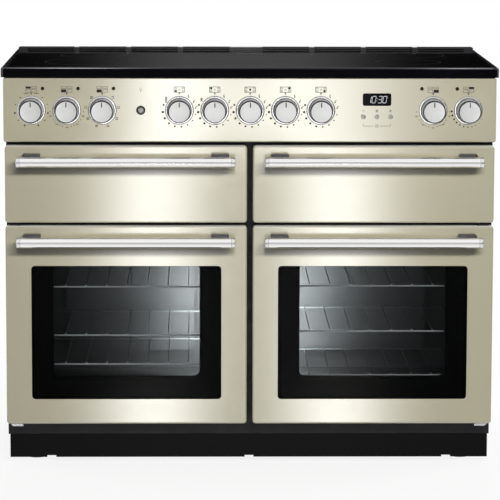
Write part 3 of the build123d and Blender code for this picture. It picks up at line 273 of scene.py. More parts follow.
def blend(tree, share, first, second):
    """Two shaders, mixed by the share of the second."""
    return add_node(tree, "MixShader", {0: share, 1: first, 2: second}).outputs["Shader"]


def see_through(tree):
    return add_node(tree, "BsdfTransparent").outputs["BSDF"]


def shade(base, factor):
    """A colour made darker or lighter."""
    return tuple(min(1.0, channel * factor) for channel in base)


def new_finish(name, base, roughness, metallic=0.0, specular=0.5):
    """A node material with its plain values set: the material, its tree and its shader."""
    material = bpy.data.materials.new(name)
    material.use_nodes = True
    tree = material.node_tree
    shader = tree.nodes["Principled BSDF"]
    plain = {"Base Color": (*base, 1.0), "Roughness": roughness, "Metallic": metallic}
    join(tree, shader, {**plain, "Specular IOR Level": specular})
    return material, tree, shader


# Patterns that the finishes use


def zinc_spangle(tree):
    return cells(tree, 70.0)["Color"]


def enamel_specks(tree):
    return cells(tree, 520.0)["Distance"]


def brush_strokes(tree):
    return grain(tree, 2600.0, (0.02, 1.0, 1.0))


def lathe_marks(tree):
    return grain(tree, 700.0, (0.03, 1.0, 0.03))


def coil_turns(tree):
    return grain(tree, 500.0, (1.0, 1.0, 0.1))


def spun_rings(tree):
    """Fine rings about the axis that points at the user."""
    inputs = {"Vector": own_place(tree), "Scale": 420.0, "Distortion": 1.5, "Detail": 3.0}
    return add_node(tree, "TexWave", inputs, wave_type="RINGS", rings_direction="Y").outputs["Fac"]


def along_rings(tree):
    """The way in which those rings run."""
    return add_node(tree, "Tangent", direction_type="RADIAL", axis="Y").outputs["Tangent"]


# Finishes


class Finish(NamedTuple):
    """A surface whose tone, gloss and relief each follow a pattern, or the grain of a scale.

    The base is a colour or the name of a user's colour. Tones are shares of it or colours. Relief is a
    depth in metres and its strength. Further sockets take a value, or a function that draws their nodes.
    """

    name: str
    base: object
    roughness: float
    metallic: float = 0.0
    specular: float = 0.5
    tone: tuple = ()
    gloss: tuple = ()
    relief: tuple = ()
    glow: float = 0.0
    sockets: tuple = ()


CREAM_ENAMEL = Finish(
    "Cream gloss enamel", "enamel", 0.12, sockets=(("IOR", 2.0),),
    tone=(5.0, 0.985, 1.015), gloss=(60.0, 0.1, 0.13), relief=(260.0, 0.00001, 0.1),
)
# Painted shade: the door panels' upward faces take a neutral grey in place of the cream, standing in for the
# shade at the tops of the doors.
GREY_TOP_FACE_SHADE = Finish("Thin enamel on top edges", (0.6, 0.59, 0.56), 0.4, specular=0.1, tone=(2.0, 0.96, 1.03))
HOB_ENAMEL = Finish(
    "Black hob enamel", "hob_trim", 0.16,
    tone=(30.0, 0.8, 1.3), gloss=(80.0, 0.14, 0.2), relief=(300.0, 0.00002, 0.2),
)
HOB_FRONT = Finish("Matt hob front", "hob_trim", 0.5, specular=0.01, tone=(30.0, 0.6, 0.9))
CERAMIC_GLASS = Finish("Black ceramic glass", "hob_glass", 0.06, tone=(900.0, 0.75, 1.4))
BODY_PAINT = Finish(
    "Charcoal body paint", "body", 0.5, specular=0.2,
    tone=(14.0, 0.9, 1.12), gloss=(40.0, 0.44, 0.56), relief=(1500.0, 0.00006, 0.35),
)
PLINTH_PAINT = Finish(
    "Black plinth paint", "plinth", 0.42, specular=0.06,
    tone=(20.0, 0.85, 1.2), relief=(1200.0, 0.00005, 0.3),
)
ZINC_SHEET = Finish(
    "Galvanised sheet", (0.46, 0.47, 0.48), 0.42, metallic=0.85,
    tone=(zinc_spangle, 0.86, 1.1), gloss=(zinc_spangle, 0.36, 0.5), relief=(12.0, 0.0004, 0.25),
)
OVEN_LINING = Finish(
    "Speckled oven enamel", "lining", 0.42,
    tone=(enamel_specks, 1.25, 0.9), gloss=(50.0, 0.38, 0.48), relief=(220.0, 0.00002, 0.12),
)
BRIGHT_WIRE = Finish(
    "Bright plated wire", "metal", 0.2, metallic=0.35,
    tone=(40.0, 0.92, 1.05), gloss=(160.0, 0.14, 0.28),
)
# Painted shade: the same plated wire, darkened behind the shelves' bright front rod and tips.
SHADED_BACK_WIRE = Finish(
    "Dull oven wire", (0.14, 0.15, 0.15), 0.6, specular=0.1,
    tone=(90.0, 0.8, 1.2), gloss=(160.0, 0.54, 0.68),
)
BRUSHED_BAR = Finish(
    "Brushed handle metal", "metal", 0.22, metallic=1.0,
    tone=(brush_strokes, 0.97, 1.02), gloss=(brush_strokes, 0.1, 0.14), relief=(brush_strokes, 0.00001, 0.02),
)
BRIGHT_CHROME = Finish(
    "Bright chrome", "chrome", 0.08, metallic=1.0,
    tone=(60.0, 0.96, 1.03), gloss=(120.0, 0.06, 0.12),
)
BEZEL_STEEL = Finish(
    "Polished bezel steel", (0.60, 0.60, 0.615), 0.2, metallic=1.0,
    tone=(60.0, 0.95, 1.04), gloss=(120.0, 0.16, 0.24),
)
SKIRT_STEEL = Finish("Grey knob skirt", (0.74, 0.74, 0.76), 0.4, specular=0.3, tone=(lathe_marks, 0.85, 1.1))
SPUN_METAL = Finish(
    "Spun knob metal", "knob", 0.4, metallic=0.2, sockets=(("Anisotropic", 0.55), ("Tangent", along_rings)),
    tone=(spun_rings, 0.95, 1.03), gloss=(spun_rings, 0.38, 0.46), relief=(spun_rings, 0.00001, 0.2),
)
KNOB_SIDE = Finish(
    "Dark knob side", (0.045, 0.045, 0.05), 0.24, metallic=0.9,
    tone=(lathe_marks, 0.85, 1.1), gloss=(lathe_marks, 0.2, 0.3),
)
BRACKET_GREY = Finish(
    "Dark grey bracket", "bracket", 0.42, metallic=0.5,
    tone=(90.0, 0.85, 1.15), relief=(1800.0, 0.00004, 0.3),
)
DOOR_GLASS = Finish(
    "Tinted door glass", "glass_tint", 0.01, gloss=(6.0, 0.0, 0.012),
    sockets=(("Transmission Weight", 1.0), ("IOR", 1.08)),
)
WINDOW_PRINT = Finish(
    "Black window print", (0.0022, 0.0022, 0.0026), 0.6, specular=0.0,
    tone=(200.0, 0.8, 1.3),
)
PLAIN_STEEL = Finish(
    "Plain steel", (0.42, 0.42, 0.43), 0.35, metallic=1.0,
    tone=(50.0, 0.85, 1.12), gloss=(120.0, 0.28, 0.45),
)
FAN_STEEL = Finish("Dark fan steel", (0.07, 0.075, 0.075), 0.45, metallic=0.5, tone=(50.0, 0.85, 1.15))
HEATER_STEEL = Finish(
    "Heater sheath", (0.055, 0.052, 0.052), 0.5, metallic=0.7,
    tone=(70.0, 0.7, (0.10, 0.075, 0.06)), relief=(600.0, 0.00005, 0.4),
)
COPPER_WINDING = Finish(
    "Copper winding", (0.62, 0.26, 0.12), 0.3, metallic=1.0,
    tone=(coil_turns, 0.75, 1.1), relief=(coil_turns, 0.0003, 0.5),
)
BLACK_PLASTIC = Finish(
    "Black moulded plastic", (0.012, 0.012, 0.013), 0.4,
    tone=(60.0, 0.85, 1.2), relief=(2200.0, 0.00005, 0.3),
)
CLOCK_LENS = Finish(
    "Clock lens", (0.004, 0.004, 0.005), 0.1, specular=0.03,
    tone=(150.0, 0.8, 1.2), gloss=(90.0, 0.08, 0.14),
)
LIT_DIGITS = Finish("Clock digits", "digits", 0.6, specular=0.1, tone=(900.0, 0.92, 1.05), glow=0.25)
BUTTON_GREY = Finish(
    "Grey clock button", (0.30, 0.295, 0.29), 0.38, metallic=0.35,
    tone=(700.0, 0.92, 1.06), gloss=(300.0, 0.33, 0.43),
)
RED_LENS = Finish(
    "Unlit red lens", "lens", 0.12, specular=0.15,
    tone=(500.0, 0.6, 1.3), gloss=(200.0, 0.1, 0.16),
)
SEAL_RUBBER = Finish(
    "Seal rubber", (0.022, 0.022, 0.022), 0.7, specular=0.3,
    tone=(80.0, 0.8, 1.25), relief=(900.0, 0.0001, 0.4),
)
BLACK_INK = Finish("Black ink", "ink", 0.5, specular=0.2, tone=(1500.0, 0.7, 1.5))
PALE_INK = Finish("Grey ink", "pale_ink", 0.5, specular=0.2, tone=(1500.0, 0.9, 1.1))
# Painted highlight: pale grey bridges stand in for light caught on the black vent trim.
VENT_BRIDGE_HIGHLIGHT = Finish("Satin vent bridge", (0.8, 0.8, 0.8), 0.6, specular=0.1, tone=(400.0, 0.92, 1.06))
ZONE_INK = Finish("Zone mark print", (0.02, 0.02, 0.021), 0.3, specular=0.05, tone=(1200.0, 0.8, 1.2))


def make_finish(kind):
    """A node material with the tones, the gloss and the relief of a finish."""
    colours = bpy.context.scene.cooker_finishes
    base = getattr(colours, kind.base) if isinstance(kind.base, str) else kind.base
    material, tree, shader = new_finish(kind.name, base, kind.roughness, kind.metallic, kind.specular)
    drawn = {}

    def pattern(marks):
        """A pattern or the grain of a scale, drawn once."""
        if marks not in drawn:
            drawn[marks] = marks(tree) if callable(marks) else grain(tree, marks)
        return drawn[marks]

    inputs = {socket: value(tree) if callable(value) else value for socket, value in kind.sockets}
    if kind.tone:
        marks, *tones = kind.tone
        dark, light = (shade(base, tone) if isinstance(tone, float) else tone for tone in tones)
        share = spread(tree, pattern(marks), 0.0, 1.0)
        ends = {"Factor": share, "A": (*dark, 1.0), "B": (*light, 1.0)}
        inputs["Base Color"] = add_node(tree, "Mix", ends, data_type="RGBA").outputs["Result"]
    if kind.gloss:
        marks, low, high = kind.gloss
        inputs["Roughness"] = spread(tree, pattern(marks), low, high)
    if kind.relief:
        marks, depth, strength = kind.relief
        bump = {"Height": pattern(marks), "Distance": depth, "Strength": strength}
        inputs["Normal"] = add_node(tree, "Bump", bump).outputs["Normal"]
    if kind.glow:
        inputs["Emission Color"] = (*base, 1.0)
        inputs["Emission Strength"] = kind.glow
    join(tree, shader, inputs)
    return material


def finish(kind):
    """The material of a finish, made once."""
    if kind not in finish.made:
        finish.made[kind] = make_finish(kind)
    return finish.made[kind]


finish.made = {}


# Mesh building blocks


def piece(name, bm, kinds, body, at=(0.0, 0.0, 0.0), crease=40.0):
    """Make a bmesh into a named piece that rides on a body."""
    bmesh.ops.recalc_face_normals(bm, faces=bm.faces)
    mesh = bpy.data.meshes.new(name)
    bm.to_mesh(mesh)
    bm.free()
    mesh.shade_smooth()
    mesh.set_sharp_from_angle(angle=math.radians(crease))
    for kind in kinds:
        mesh.materials.append(finish(kind))
    made = bpy.data.objects.new(name, mesh)
    made.location = at
    bpy.context.collection.objects.link(made)
    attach(made, body)
    return made


def turn(bm, profile, place=Matrix(), steps=72, closed=False, band=0):
    """Revolve (radius, reach) points, with or without a finish each, about an axis towards the user."""
    profile = [(*point, band)[:3] for point in profile]
    rings = []
    for radius, reach, _ in profile:
        count = steps if radius > 0 else 1
        ring = []
        for step in range(count):
            angle = 2 * math.pi * step / count
            point = Vector((radius * math.cos(angle), -reach, radius * math.sin(angle)))
            ring.append(bm.verts.new(place @ point))
        rings.append(ring)
    following = rings[1:] + rings[:1] if closed else rings[1:]
    bands = [own for _, _, own in profile]
    bands = bands[1:] + bands[:1] if closed else bands[1:]
    for ring, other, own in zip(rings, following, bands):
        for step in range(steps):
            after = step + 1
            corners = (
                ring[step % len(ring)],
                ring[after % len(ring)],
                other[after % len(other)],
                other[step % len(other)],
            )
            face = bm.faces.new(dict.fromkeys(corners))
            face.material_index = own


def prism(bm, outline, front, depth, band=0):
    """A plate of that outline, drawn in X and Z, whose face lies at a depth in Y."""
    near = [bm.verts.new((x, front, z)) for x, z in outline]
    far = [bm.verts.new((x, front + depth, z)) for x, z in outline]
    faces = [bm.faces.new(near), bm.faces.new(far[::-1])]
    count = len(outline)
    for corner in range(count):
        after = (corner + 1) % count
        faces.append(bm.faces.new((near[corner], far[corner], far[after], near[after])))
    for face in faces:
        face.material_index = band


def arc(x, z, radius, start, end, steps):
    """Points on an arc in X and Z, with angles from the +X axis in degrees."""
    angles = [math.radians(start + (end - start) * step / steps) for step in range(steps + 1)]
    return [(x + radius * math.cos(angle), z + radius * math.sin(angle)) for angle in angles]


def rounded(x, z, width, height, corner, steps=6):
    """Outline of a rectangle with round corners."""
    right, top = x + width / 2 - corner, z + height / 2 - corner
    left, bottom = x - width / 2 + corner, z - height / 2 + corner
    return (
        arc(right, top, corner, 0, 90, steps)
        + arc(left, top, corner, 90, 180, steps)
        + arc(left, bottom, corner, 180, 270, steps)
        + arc(right, bottom, corner, 270, 360, steps)
    )


def axis_of(node):
    """Where the axis of a round control crosses the face of the fascia."""
    low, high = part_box(node)
    return Vector(((low.x + high.x) / 2, FACE, (low.z + high.z) / 2))


class Print:
    """Ink on the face of the fascia, drawn in X and Z."""

    DOT_STEPS = 20

    def __init__(self, face=FACE):
        self.bm = bmesh.new()
        self.depth = controls().ink_depth
        self.front = face - self.depth

    def plate(self, outline, band=0):
        prism(self.bm, outline, self.front, self.depth, band)

    def dot(self, x, z, radius, band=0):
        self.plate(arc(x, z, radius, 0, 360 - 360 / self.DOT_STEPS, self.DOT_STEPS - 1), band)

    def bar(self, x, z, width, height, turned=0.0, band=0):
        """A straight bar, turned clockwise by degrees."""
        angle = math.radians(-turned)
        cos, sin = math.cos(angle), math.sin(angle)
        corners = [(-width, -height), (width, -height), (width, height), (-width, height)]
        self.plate([(x + (u * cos - v * sin) / 2, z + (u * sin + v * cos) / 2) for u, v in corners], band)

    def outline(self, x, z, width, height, line, band=0):
        """A rectangle drawn with four bars."""
        for side in (-1, 1):
            self.bar(x + side * (width - line) / 2, z, line, height, band=band)
            self.bar(x, z + side * (height - line) / 2, width - 2 * line, line, band=band)

    def ring(self, x, z, radius, line, band=0):
        """A circle line, as two half rings."""
        for start in (0, 180):
            outer = arc(x, z, radius, start, start + 180, self.DOT_STEPS)
            inner = arc(x, z, radius - line, start + 180, start, self.DOT_STEPS)
            self.plate(outer + inner, band)

    def numeral(self, text, x, z, height, weight=0.0):
        """Plain figures, centred and made bolder by a share of their height."""
        curve = bpy.data.curves.new("numeral", "FONT")
        curve.body = text
        curve.size = height
        curve.offset = height * weight
        curve.extrude = self.depth / 2
        curve.resolution_u = 2
        curve.align_x = "CENTER"
        curve.align_y = "CENTER"
        holder = bpy.data.objects.new("numeral", curve)
        mesh = bpy.data.meshes.new_from_object(holder)
        upright = Matrix.Rotation(math.radians(90), 4, "X")
        mesh.transform(Matrix.Translation((x, self.front + self.depth / 2, z)) @ upright)
        self.bm.from_mesh(mesh)
        bpy.data.objects.remove(holder)
        bpy.data.curves.remove(curve)
        bpy.data.meshes.remove(mesh)

    def finish(self, name, kinds=(BLACK_INK, PALE_INK)):
        return piece(name, self.bm, kinds, CARCASS)


def on_dial(knob, degrees, reach=1.0):
    """A place on a knob's dial, clockwise from the top."""
    centre = axis_of(knob)
    radius = controls().dial_radius * reach
    angle = math.radians(degrees)
    return centre.x + radius * math.sin(angle), centre.z + radius * math.cos(angle)


# Operators, one for each piece or group of like pieces


class COOKER_OT_finish_shell(bpy.types.Operator):
    """Give the solids of the frame their finishes"""

    bl_idname = "cooker.finish_shell"
    bl_label = "Finish Shell and Inside"

    NODES = {
        CREAM_ENAMEL: ("fascia", *(f"{door}_panel" for door in DOORS)),
        HOB_ENAMEL: ("hob_frame", "rear_vent_trim"),
        CERAMIC_GLASS: ("hob_glass",),
        BODY_PAINT: ("front_frame", "side_panels"),
        PLINTH_PAINT: ("plinth",),
        ZINC_SHEET: ("rear_panel", "base_tray", "coil_tray", "fan_motors", "terminal_box"),
        OVEN_LINING: (
            "left_oven_liner",
            "right_oven_liner",
            "grill_liner",
            "slow_cook_liner",
            "fan_covers",
            "grill_pan",
            *(f"{door}_inner" for door in DOORS),
        ),
        BRIGHT_WIRE: ("oven_shelves", "shelf_supports", "grill_trivet"),
        DOOR_GLASS: ("left_oven_door_glass", "right_oven_door_glass"),
        PLAIN_STEEL: ("door_hinges",),
        FAN_STEEL: ("left_oven_fan", "right_oven_fan"),
        HEATER_STEEL: ("heating_elements",),
        COPPER_WINDING: ("induction_coils",),
        BLACK_PLASTIC: ("control_switches", "levelling_feet"),
        CLOCK_LENS: ("clock_display",),
        SEAL_RUBBER: ("door_seals",),
    }

    UPWARD = 0.5
    FORWARD = -0.85
    UPPER_HINGE = 0.3

    def second_finish(self, node, kind, chosen):
        """Give some faces of a solid a finish of their own."""
        mesh = frame["nodes"][node].data
        mesh.materials.append(finish(kind))
        for polygon in mesh.polygons:
            if chosen(polygon):
                polygon.material_index = 1

    def execute(self, context):
        for kind, nodes in self.NODES.items():
            for node in nodes:
                slots = frame["nodes"][node].data.materials
                slots.clear()
                slots.append(finish(kind))
        for door in DOORS:
            # The upward faces of each door panel get the grey of painted shade.
            self.second_finish(f"{door}_panel", GREY_TOP_FACE_SHADE, lambda face: face.normal.z > self.UPWARD)
        self.second_finish("hob_frame", HOB_FRONT, lambda face: face.normal.y < self.FORWARD)
        self.second_finish("door_hinges", BODY_PAINT, lambda face: face.center.z > self.UPPER_HINGE)
        return {"FINISHED"}


class COOKER_OT_turn_knobs(bpy.types.Operator):
    """Turn the ten knobs, each with a spun face, a bevelled edge and an inlaid pointer"""

    bl_idname = "cooker.turn_knobs"
    bl_label = "Turn Knobs"

    SIDE, SPUN, INLAY, SKIRT = range(4)
    FINISHES = (KNOB_SIDE, SPUN_METAL, BRACKET_GREY, SKIRT_STEEL)
    HALFWAY_DISH = 0.8
    INLAY_DEPTH = 1.6
    STEPS = 96

    def profile(self, tail):
        """A knob from the end of its spindle to the middle of its hollowed face."""
        sizes = controls()
        radius, face, stem = sizes.knob_diameter / 2, sizes.knob_face / 2, sizes.spindle / 2
        edge, dish = sizes.knob_edge, sizes.knob_dish
        back, front = sizes.knob_lift, FACE - KNOB_FRONT
        return [
            (0.0, -tail, self.SIDE),
            (stem, -tail, self.SIDE),
            (stem, back, self.SIDE),
            (radius - edge / 2, back, self.SKIRT),
            (radius, back + edge / 2, self.SKIRT),
            (radius, front - sizes.knob_rim, self.SKIRT),
            (radius, front - edge, self.SIDE),
            (radius - edge / 3, front - edge / 3, self.SIDE),
            (face, front, self.SIDE),
            (face - edge / 2, front - edge / 9, self.SPUN),
            (face / 2, front - dish * self.HALFWAY_DISH, self.SPUN),
            (0.0, front - dish, self.SPUN),
        ]

    def pointer(self, bm):
        """A line let into the face, below its top edge."""
        sizes = controls()
        width, height = sizes.pointer_width, sizes.pointer_length
        middle = sizes.knob_face / 2 - sizes.pointer_margin - height / 2
        outline = rounded(0.0, middle, width, height, width / 3)
        prism(bm, outline, KNOB_FRONT - FACE, sizes.knob_dish * self.INLAY_DEPTH, self.INLAY)

    def execute(self, context):
        for name in KNOBS:
            bm = bmesh.new()
            turn(bm, self.profile(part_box(name)[1].y - FACE), steps=self.STEPS)
            self.pointer(bm)
            turned = name.replace("_knob", "_turned_knob")
            knob = piece(turned, bm, self.FINISHES, name, axis_of(name))
            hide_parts(name)
        return {"FINISHED"}


class COOKER_OT_turn_bezels(bpy.types.Operator):
    """Turn the chrome bezels round the knobs and the ring of the light button"""

    bl_idname = "cooker.turn_bezels"
    bl_label = "Turn Bezels"

    CHROME, DARK = range(2)

    # Shares of the wall inwards and of the height, from the outer foot over the crown into the bore
    CROWN = ((0.0, 0.0), (0.0, 0.3), (0.12, 0.62), (0.35, 0.88), (0.6, 1.0), (0.88, 0.94), (1.0, 0.7))
    DISH_WALL = 1.2 * MM
    DISH_RIM = 1.4 * MM
    DISH_EYE = 16.0 * MM
    DISH_FLOOR = 0.5 * MM
    LIGHT_GAP = 0.3 * MM

    def knob_ring(self):
        """A rounded ring with a shallow dish that runs in under the knob."""
        outer, bore = controls().bezel_diameter / 2, controls().bezel_bore / 2
        crown = [(outer - (outer - bore) * inwards, BEZEL_HEIGHT * share) for inwards, share in self.CROWN]
        eye = [(self.DISH_EYE, self.DISH_FLOOR), (self.DISH_EYE, 0.0)]
        return [*crown, (bore - self.DISH_WALL, self.DISH_RIM), *eye]

    def light_ring(self):
        """A plain ring with a rounded outer edge."""
        sizes = controls()
        rim, height = sizes.light_ring / 2, sizes.light_ring_height
        eye = sizes.light_cap / 2 + self.LIGHT_GAP
        return [
            (rim, 0.0),
            (rim, height * 0.5),
            (rim - height * 0.2, height * 0.85),
            (rim - height * 0.5, height),
            (eye + height * 0.2, height),
            (eye, height * 0.8),
            (eye, 0.0),
        ]

    def execute(self, context):
        bm = bmesh.new()
        for name in KNOBS:
            turn(bm, self.knob_ring(), Matrix.Translation(axis_of(name)), closed=True, band=self.CHROME)
        centre = axis_of("light_button")
        turn(bm, self.light_ring(), Matrix.Translation(centre), closed=True, band=self.DARK)
        bezels = piece("turned_control_bezels", bm, (BEZEL_STEEL, BLACK_PLASTIC), CARCASS)
        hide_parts("control_bezels")
        return {"FINISHED"}


class COOKER_OT_turn_buttons(bpy.types.Operator):
    """Turn the light button and the three clock buttons"""

    bl_idname = "cooker.turn_buttons"
    bl_label = "Turn Buttons"

    LIP = 1.5 * MM
    SKIN = 1.5 * MM
    LIGHT_ROUNDING = 2.0 * MM
    CLOCK_ROUNDING = 0.6 * MM
    STEPS = 48

    def dome(self, node, rounding):
        """A cap of a node's size with a rounded front edge and its lip behind the fascia."""
        low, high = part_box(node)
        lip = (high.x - low.x) / 2
        cap = lip - self.LIP
        rise = FACE - low.y
        tail = high.y - FACE
        return [
            (0.0, -tail),
            (lip, -tail),
            (lip, -self.SKIN),
            (cap, -self.SKIN),
            (cap, rise - rounding),
            (cap - rounding * 0.3, rise - rounding * 0.3),
            (cap - rounding, rise),
            (cap * 0.4, rise),
            (0.0, rise),
        ]

    def button(self, name, rounding, slot):
        bm = bmesh.new()
        turn(bm, self.dome(name, rounding), steps=self.STEPS)
        cap = piece(name.replace("_button", "_turned_button"), bm, (BUTTON_GREY,), name, axis_of(name))
        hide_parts(name)

    def execute(self, context):
        self.button("light_button", self.LIGHT_ROUNDING, "satin_metal")
        for name in CLOCK_BUTTONS:
            self.button(name, self.CLOCK_ROUNDING, "black_plastic")
        return {"FINISHED"}


class COOKER_OT_build_handles(bpy.types.Operator):
    """Build the four tube handles with polished caps on dark stand-off brackets"""

    bl_idname = "cooker.build_handles"
    bl_label = "Build Handles"

    BAR, CAP, SEAM, BRACKET = range(4)
    CAP_LENGTH = 8.0 * MM
    CAP_EDGE = 2.0 * MM
    SEAM_WIDTH = 0.5 * MM
    SEAM_DEPTH = 0.6 * MM
    BRACKET_INSET = 33.0 * MM
    BRACKET_FOOT = 38.0 * MM
    BRACKET_NOSE = 39.0 * MM
    BRACKET_EDGE = 1.2 * MM

    def bar_profile(self, radius, reach):
        """Half of the bar from one end to the middle, mirrored to the other end."""
        half = [
            (0.0, 0.0, self.CAP),
            (radius - self.CAP_EDGE, 0.0, self.CAP),
            (radius - self.CAP_EDGE * 0.3, self.CAP_EDGE * 0.3, self.CAP),
            (radius, self.CAP_EDGE, self.CAP),
            (radius, self.CAP_LENGTH, self.CAP),
            (radius - self.SEAM_DEPTH, self.CAP_LENGTH, self.SEAM),
            (radius - self.SEAM_DEPTH, self.CAP_LENGTH + self.SEAM_WIDTH, self.SEAM),
            (radius, self.CAP_LENGTH + self.SEAM_WIDTH, self.SEAM),
        ]
        far = []
        band = self.BAR
        for near_radius, near_reach, near_band in reversed(half):
            far.append((near_radius, reach - near_reach, band))
            band = near_band
        return half + far

    def bracket(self, bm, x, bar_y, bottom, top):
        """A stand-off that widens a little from the door to the bar."""
        outline = (
            (x - self.BRACKET_FOOT / 2, FACE),
            (x + self.BRACKET_FOOT / 2, FACE),
            (x + self.BRACKET_NOSE / 2, bar_y),
            (x - self.BRACKET_NOSE / 2, bar_y),
        )
        solid = bmesh.new()
        prism(solid, outline, -top, top - bottom, self.BRACKET)
        flat = Matrix.Rotation(math.radians(-90), 4, "X")
        bmesh.ops.transform(solid, matrix=flat, verts=solid.verts)
        rounding = {"offset": self.BRACKET_EDGE, "segments": 3, "profile": 0.5, "material": self.BRACKET}
        bmesh.ops.bevel(solid, geom=solid.edges[:], affect="EDGES", **rounding)
        mesh = bpy.data.meshes.new("bracket")
        solid.to_mesh(mesh)
        solid.free()
        bm.from_mesh(mesh)
        bpy.data.meshes.remove(mesh)

    def execute(self, context):
        along = Matrix.Rotation(math.radians(90), 4, "Z")
        for door in DOORS:
            node = f"{door}_handle"
            low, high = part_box(node)
            radius = controls().bar_diameter / 2
            axis = Vector((low.x, low.y + radius, (low.z + high.z) / 2))
            bm = bmesh.new()
            profile = self.bar_profile(radius, high.x - low.x)
            turn(bm, profile, Matrix.Translation(axis) @ along, steps=96)
            for x in (low.x + self.BRACKET_INSET, high.x - self.BRACKET_INSET):
                self.bracket(bm, x, axis.y, axis.z - radius / 2, high.z)
            kinds = (BRUSHED_BAR, BRIGHT_CHROME, BLACK_PLASTIC, BRACKET_GREY)
            handle = piece(f"{door}_tube_handle", bm, kinds, door)
            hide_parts(node)
        return {"FINISHED"}


class COOKER_OT_weave_shelves(bpy.types.Operator):
    """Lay the oven shelves: round rods in a frame, with thin wires from front to back on them; behind the
    bright front rod and tips the wire is darkened as painted shade
    """

    bl_idname = "cooker.weave_shelves"
    bl_label = "Weave Oven Shelves"

    # The bright front of each shelf, and the rest of it darkened as painted shade.
    BRIGHT, DULL = range(2)

    # Heights of the shelves behind each door, in millimetres
    LEVELS = {"left_oven_door": (218.0, 284.0, 394.0), "right_oven_door": (193.0, 293.0, 396.0)}
    ROD = 2.0 * MM
    WIRE = 1.0 * MM
    NUB = 2.1 * MM
    WIRE_PITCH = 46.0 * MM
    WIRES_EACH_SIDE = 4
    TIP = 5.0 * MM

    def rod(self, bm, place, tip, radius, reach, tip_band, band):
        """A round rod from front to back, or turned to lie across, with a tip of its own size and finish."""
        profile = [
            (0.0, 0.0, tip_band),
            (tip, 0.0, tip_band),
            (tip, -self.TIP, tip_band),
            (radius, -self.TIP, band),
            (radius, -reach, band),
            (0.0, -reach, band),
        ]
        turn(bm, profile, place, steps=12)

    def execute(self, context):
        low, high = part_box("oven_shelves")
        across = Matrix.Rotation(math.radians(-90), 4, "Z")
        depth = high.y - low.y
        bm = bmesh.new()
        for door, levels in self.LEVELS.items():
            glass_low, glass_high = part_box(f"{door}_glass")
            middle = (glass_low.x + glass_high.x) / 2
            half = min(high.x - middle, middle - low.x)
            for level in levels:
                floor = level * MM + self.ROD
                top = floor + self.ROD + self.WIRE
                for y, band in ((low.y + self.ROD, self.BRIGHT), (high.y - self.ROD, self.DULL)):
                    start = Matrix.Translation((middle - half, y, floor)) @ across
                    self.rod(bm, start, self.ROD, self.ROD, 2 * half, band, band)
                for side in (-1, 1):
                    start = Matrix.Translation((middle + side * (half - self.ROD), low.y, floor))
                    self.rod(bm, start, self.ROD, self.ROD, depth, self.BRIGHT, self.DULL)
                for wire in range(-self.WIRES_EACH_SIDE, self.WIRES_EACH_SIDE + 1):
                    start = Matrix.Translation((middle + wire * self.WIRE_PITCH, low.y, top))
                    self.rod(bm, start, self.NUB, self.WIRE, depth, self.BRIGHT, self.DULL)
        shelves = piece("round_wire_shelves", bm, (BRIGHT_WIRE, SHADED_BACK_WIRE), CARCASS)
        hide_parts("oven_shelves")
        return {"FINISHED"}


class COOKER_OT_fit_small_trim(bpy.types.Operator):
    """Fit the rear vent's bridges in pale grey as painted highlight, the fan filters and the plugs on the
    centre pillar
    """

    bl_idname = "cooker.fit_small_trim"
    bl_label = "Fit Small Trim"

    # Bridges by their distance from the middle, with their widths, and heights of the plugs, in millimetres
    BRIDGES = {0.0: 78.0, 157.0: 11.0, 280.5: 11.0, 404.0: 11.0}
    PLUGS = (591.0, 466.0, 321.0, 190.0)
    BRIDGE_DEPTH = 22.0 * MM
    BRIDGE_LIFT = 0.3 * MM
    BRIDGE_CORNER = 2.0 * MM
    FILTER_GAP = 2.4 * MM
    FILTER_RADIUS = 76.0 * MM
    FILTER_SHEET = 0.6 * MM
    PLUG_RADIUS = 4.5 * MM
    PLUG_RISE = 2.5 * MM
    PLUG_CURVE = (20, 40, 60, 75)

    def bridges(self):
        """Thin strips across the vent, between its slots, in a pale grey that paints highlights on the dark
        trim.
        """
        low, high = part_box("rear_vent_trim")
        middle = (low.y + high.y) / 2
        flat = Matrix.Rotation(math.radians(-90), 4, "X")
        bm = bmesh.new()
        for reach, width in self.BRIDGES.items():
            for side in (-1, 1) if reach else (1,):
                size = (width * MM, self.BRIDGE_DEPTH)
                outline = rounded(side * reach * MM, middle, *size, self.BRIDGE_CORNER)
                prism(bm, outline, -self.BRIDGE_LIFT, self.BRIDGE_LIFT)
        bmesh.ops.transform(bm, matrix=Matrix.Translation((0.0, 0.0, high.z)) @ flat, verts=bm.verts)
        piece("rear_vent_bridges", bm, (VENT_BRIDGE_HIGHLIGHT,), CARCASS)

    def filters(self):
        """A round grease filter close behind the slots of each fan cover."""
        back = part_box("fan_covers")[0].y + self.FILTER_GAP
        disc = [
            (0.0, 0.0),
            (self.FILTER_RADIUS, 0.0),
            (self.FILTER_RADIUS, -self.FILTER_SHEET),
            (0.0, -self.FILTER_SHEET),
        ]
        bm = bmesh.new()
        for fan in ("left_oven_fan", "right_oven_fan"):
            low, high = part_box(fan)
            centre = (low + high) / 2
            turn(bm, disc, Matrix.Translation((centre.x, back, centre.z)), steps=48)
        piece("fan_cover_filters", bm, (OVEN_LINING,), CARCASS)

    def plugs(self):
        """Domed plugs in the pillar between the doors."""
        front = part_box("front_frame")[0].y
        dome = [(self.PLUG_RADIUS, 0.0)]
        for degrees in self.PLUG_CURVE:
            angle = math.radians(degrees)
            dome.append((self.PLUG_RADIUS * math.cos(angle), self.PLUG_RISE * math.sin(angle)))
        dome.append((0.0, self.PLUG_RISE))
        bm = bmesh.new()
        for height in self.PLUGS:
            turn(bm, dome, Matrix.Translation((0.0, front, height * MM)), steps=24)
        piece("pillar_plugs", bm, (BLACK_PLASTIC,), CARCASS, crease=60.0)

    def execute(self, context):
        self.bridges()
        self.filters()
        self.plugs()
        return {"FINISHED"}


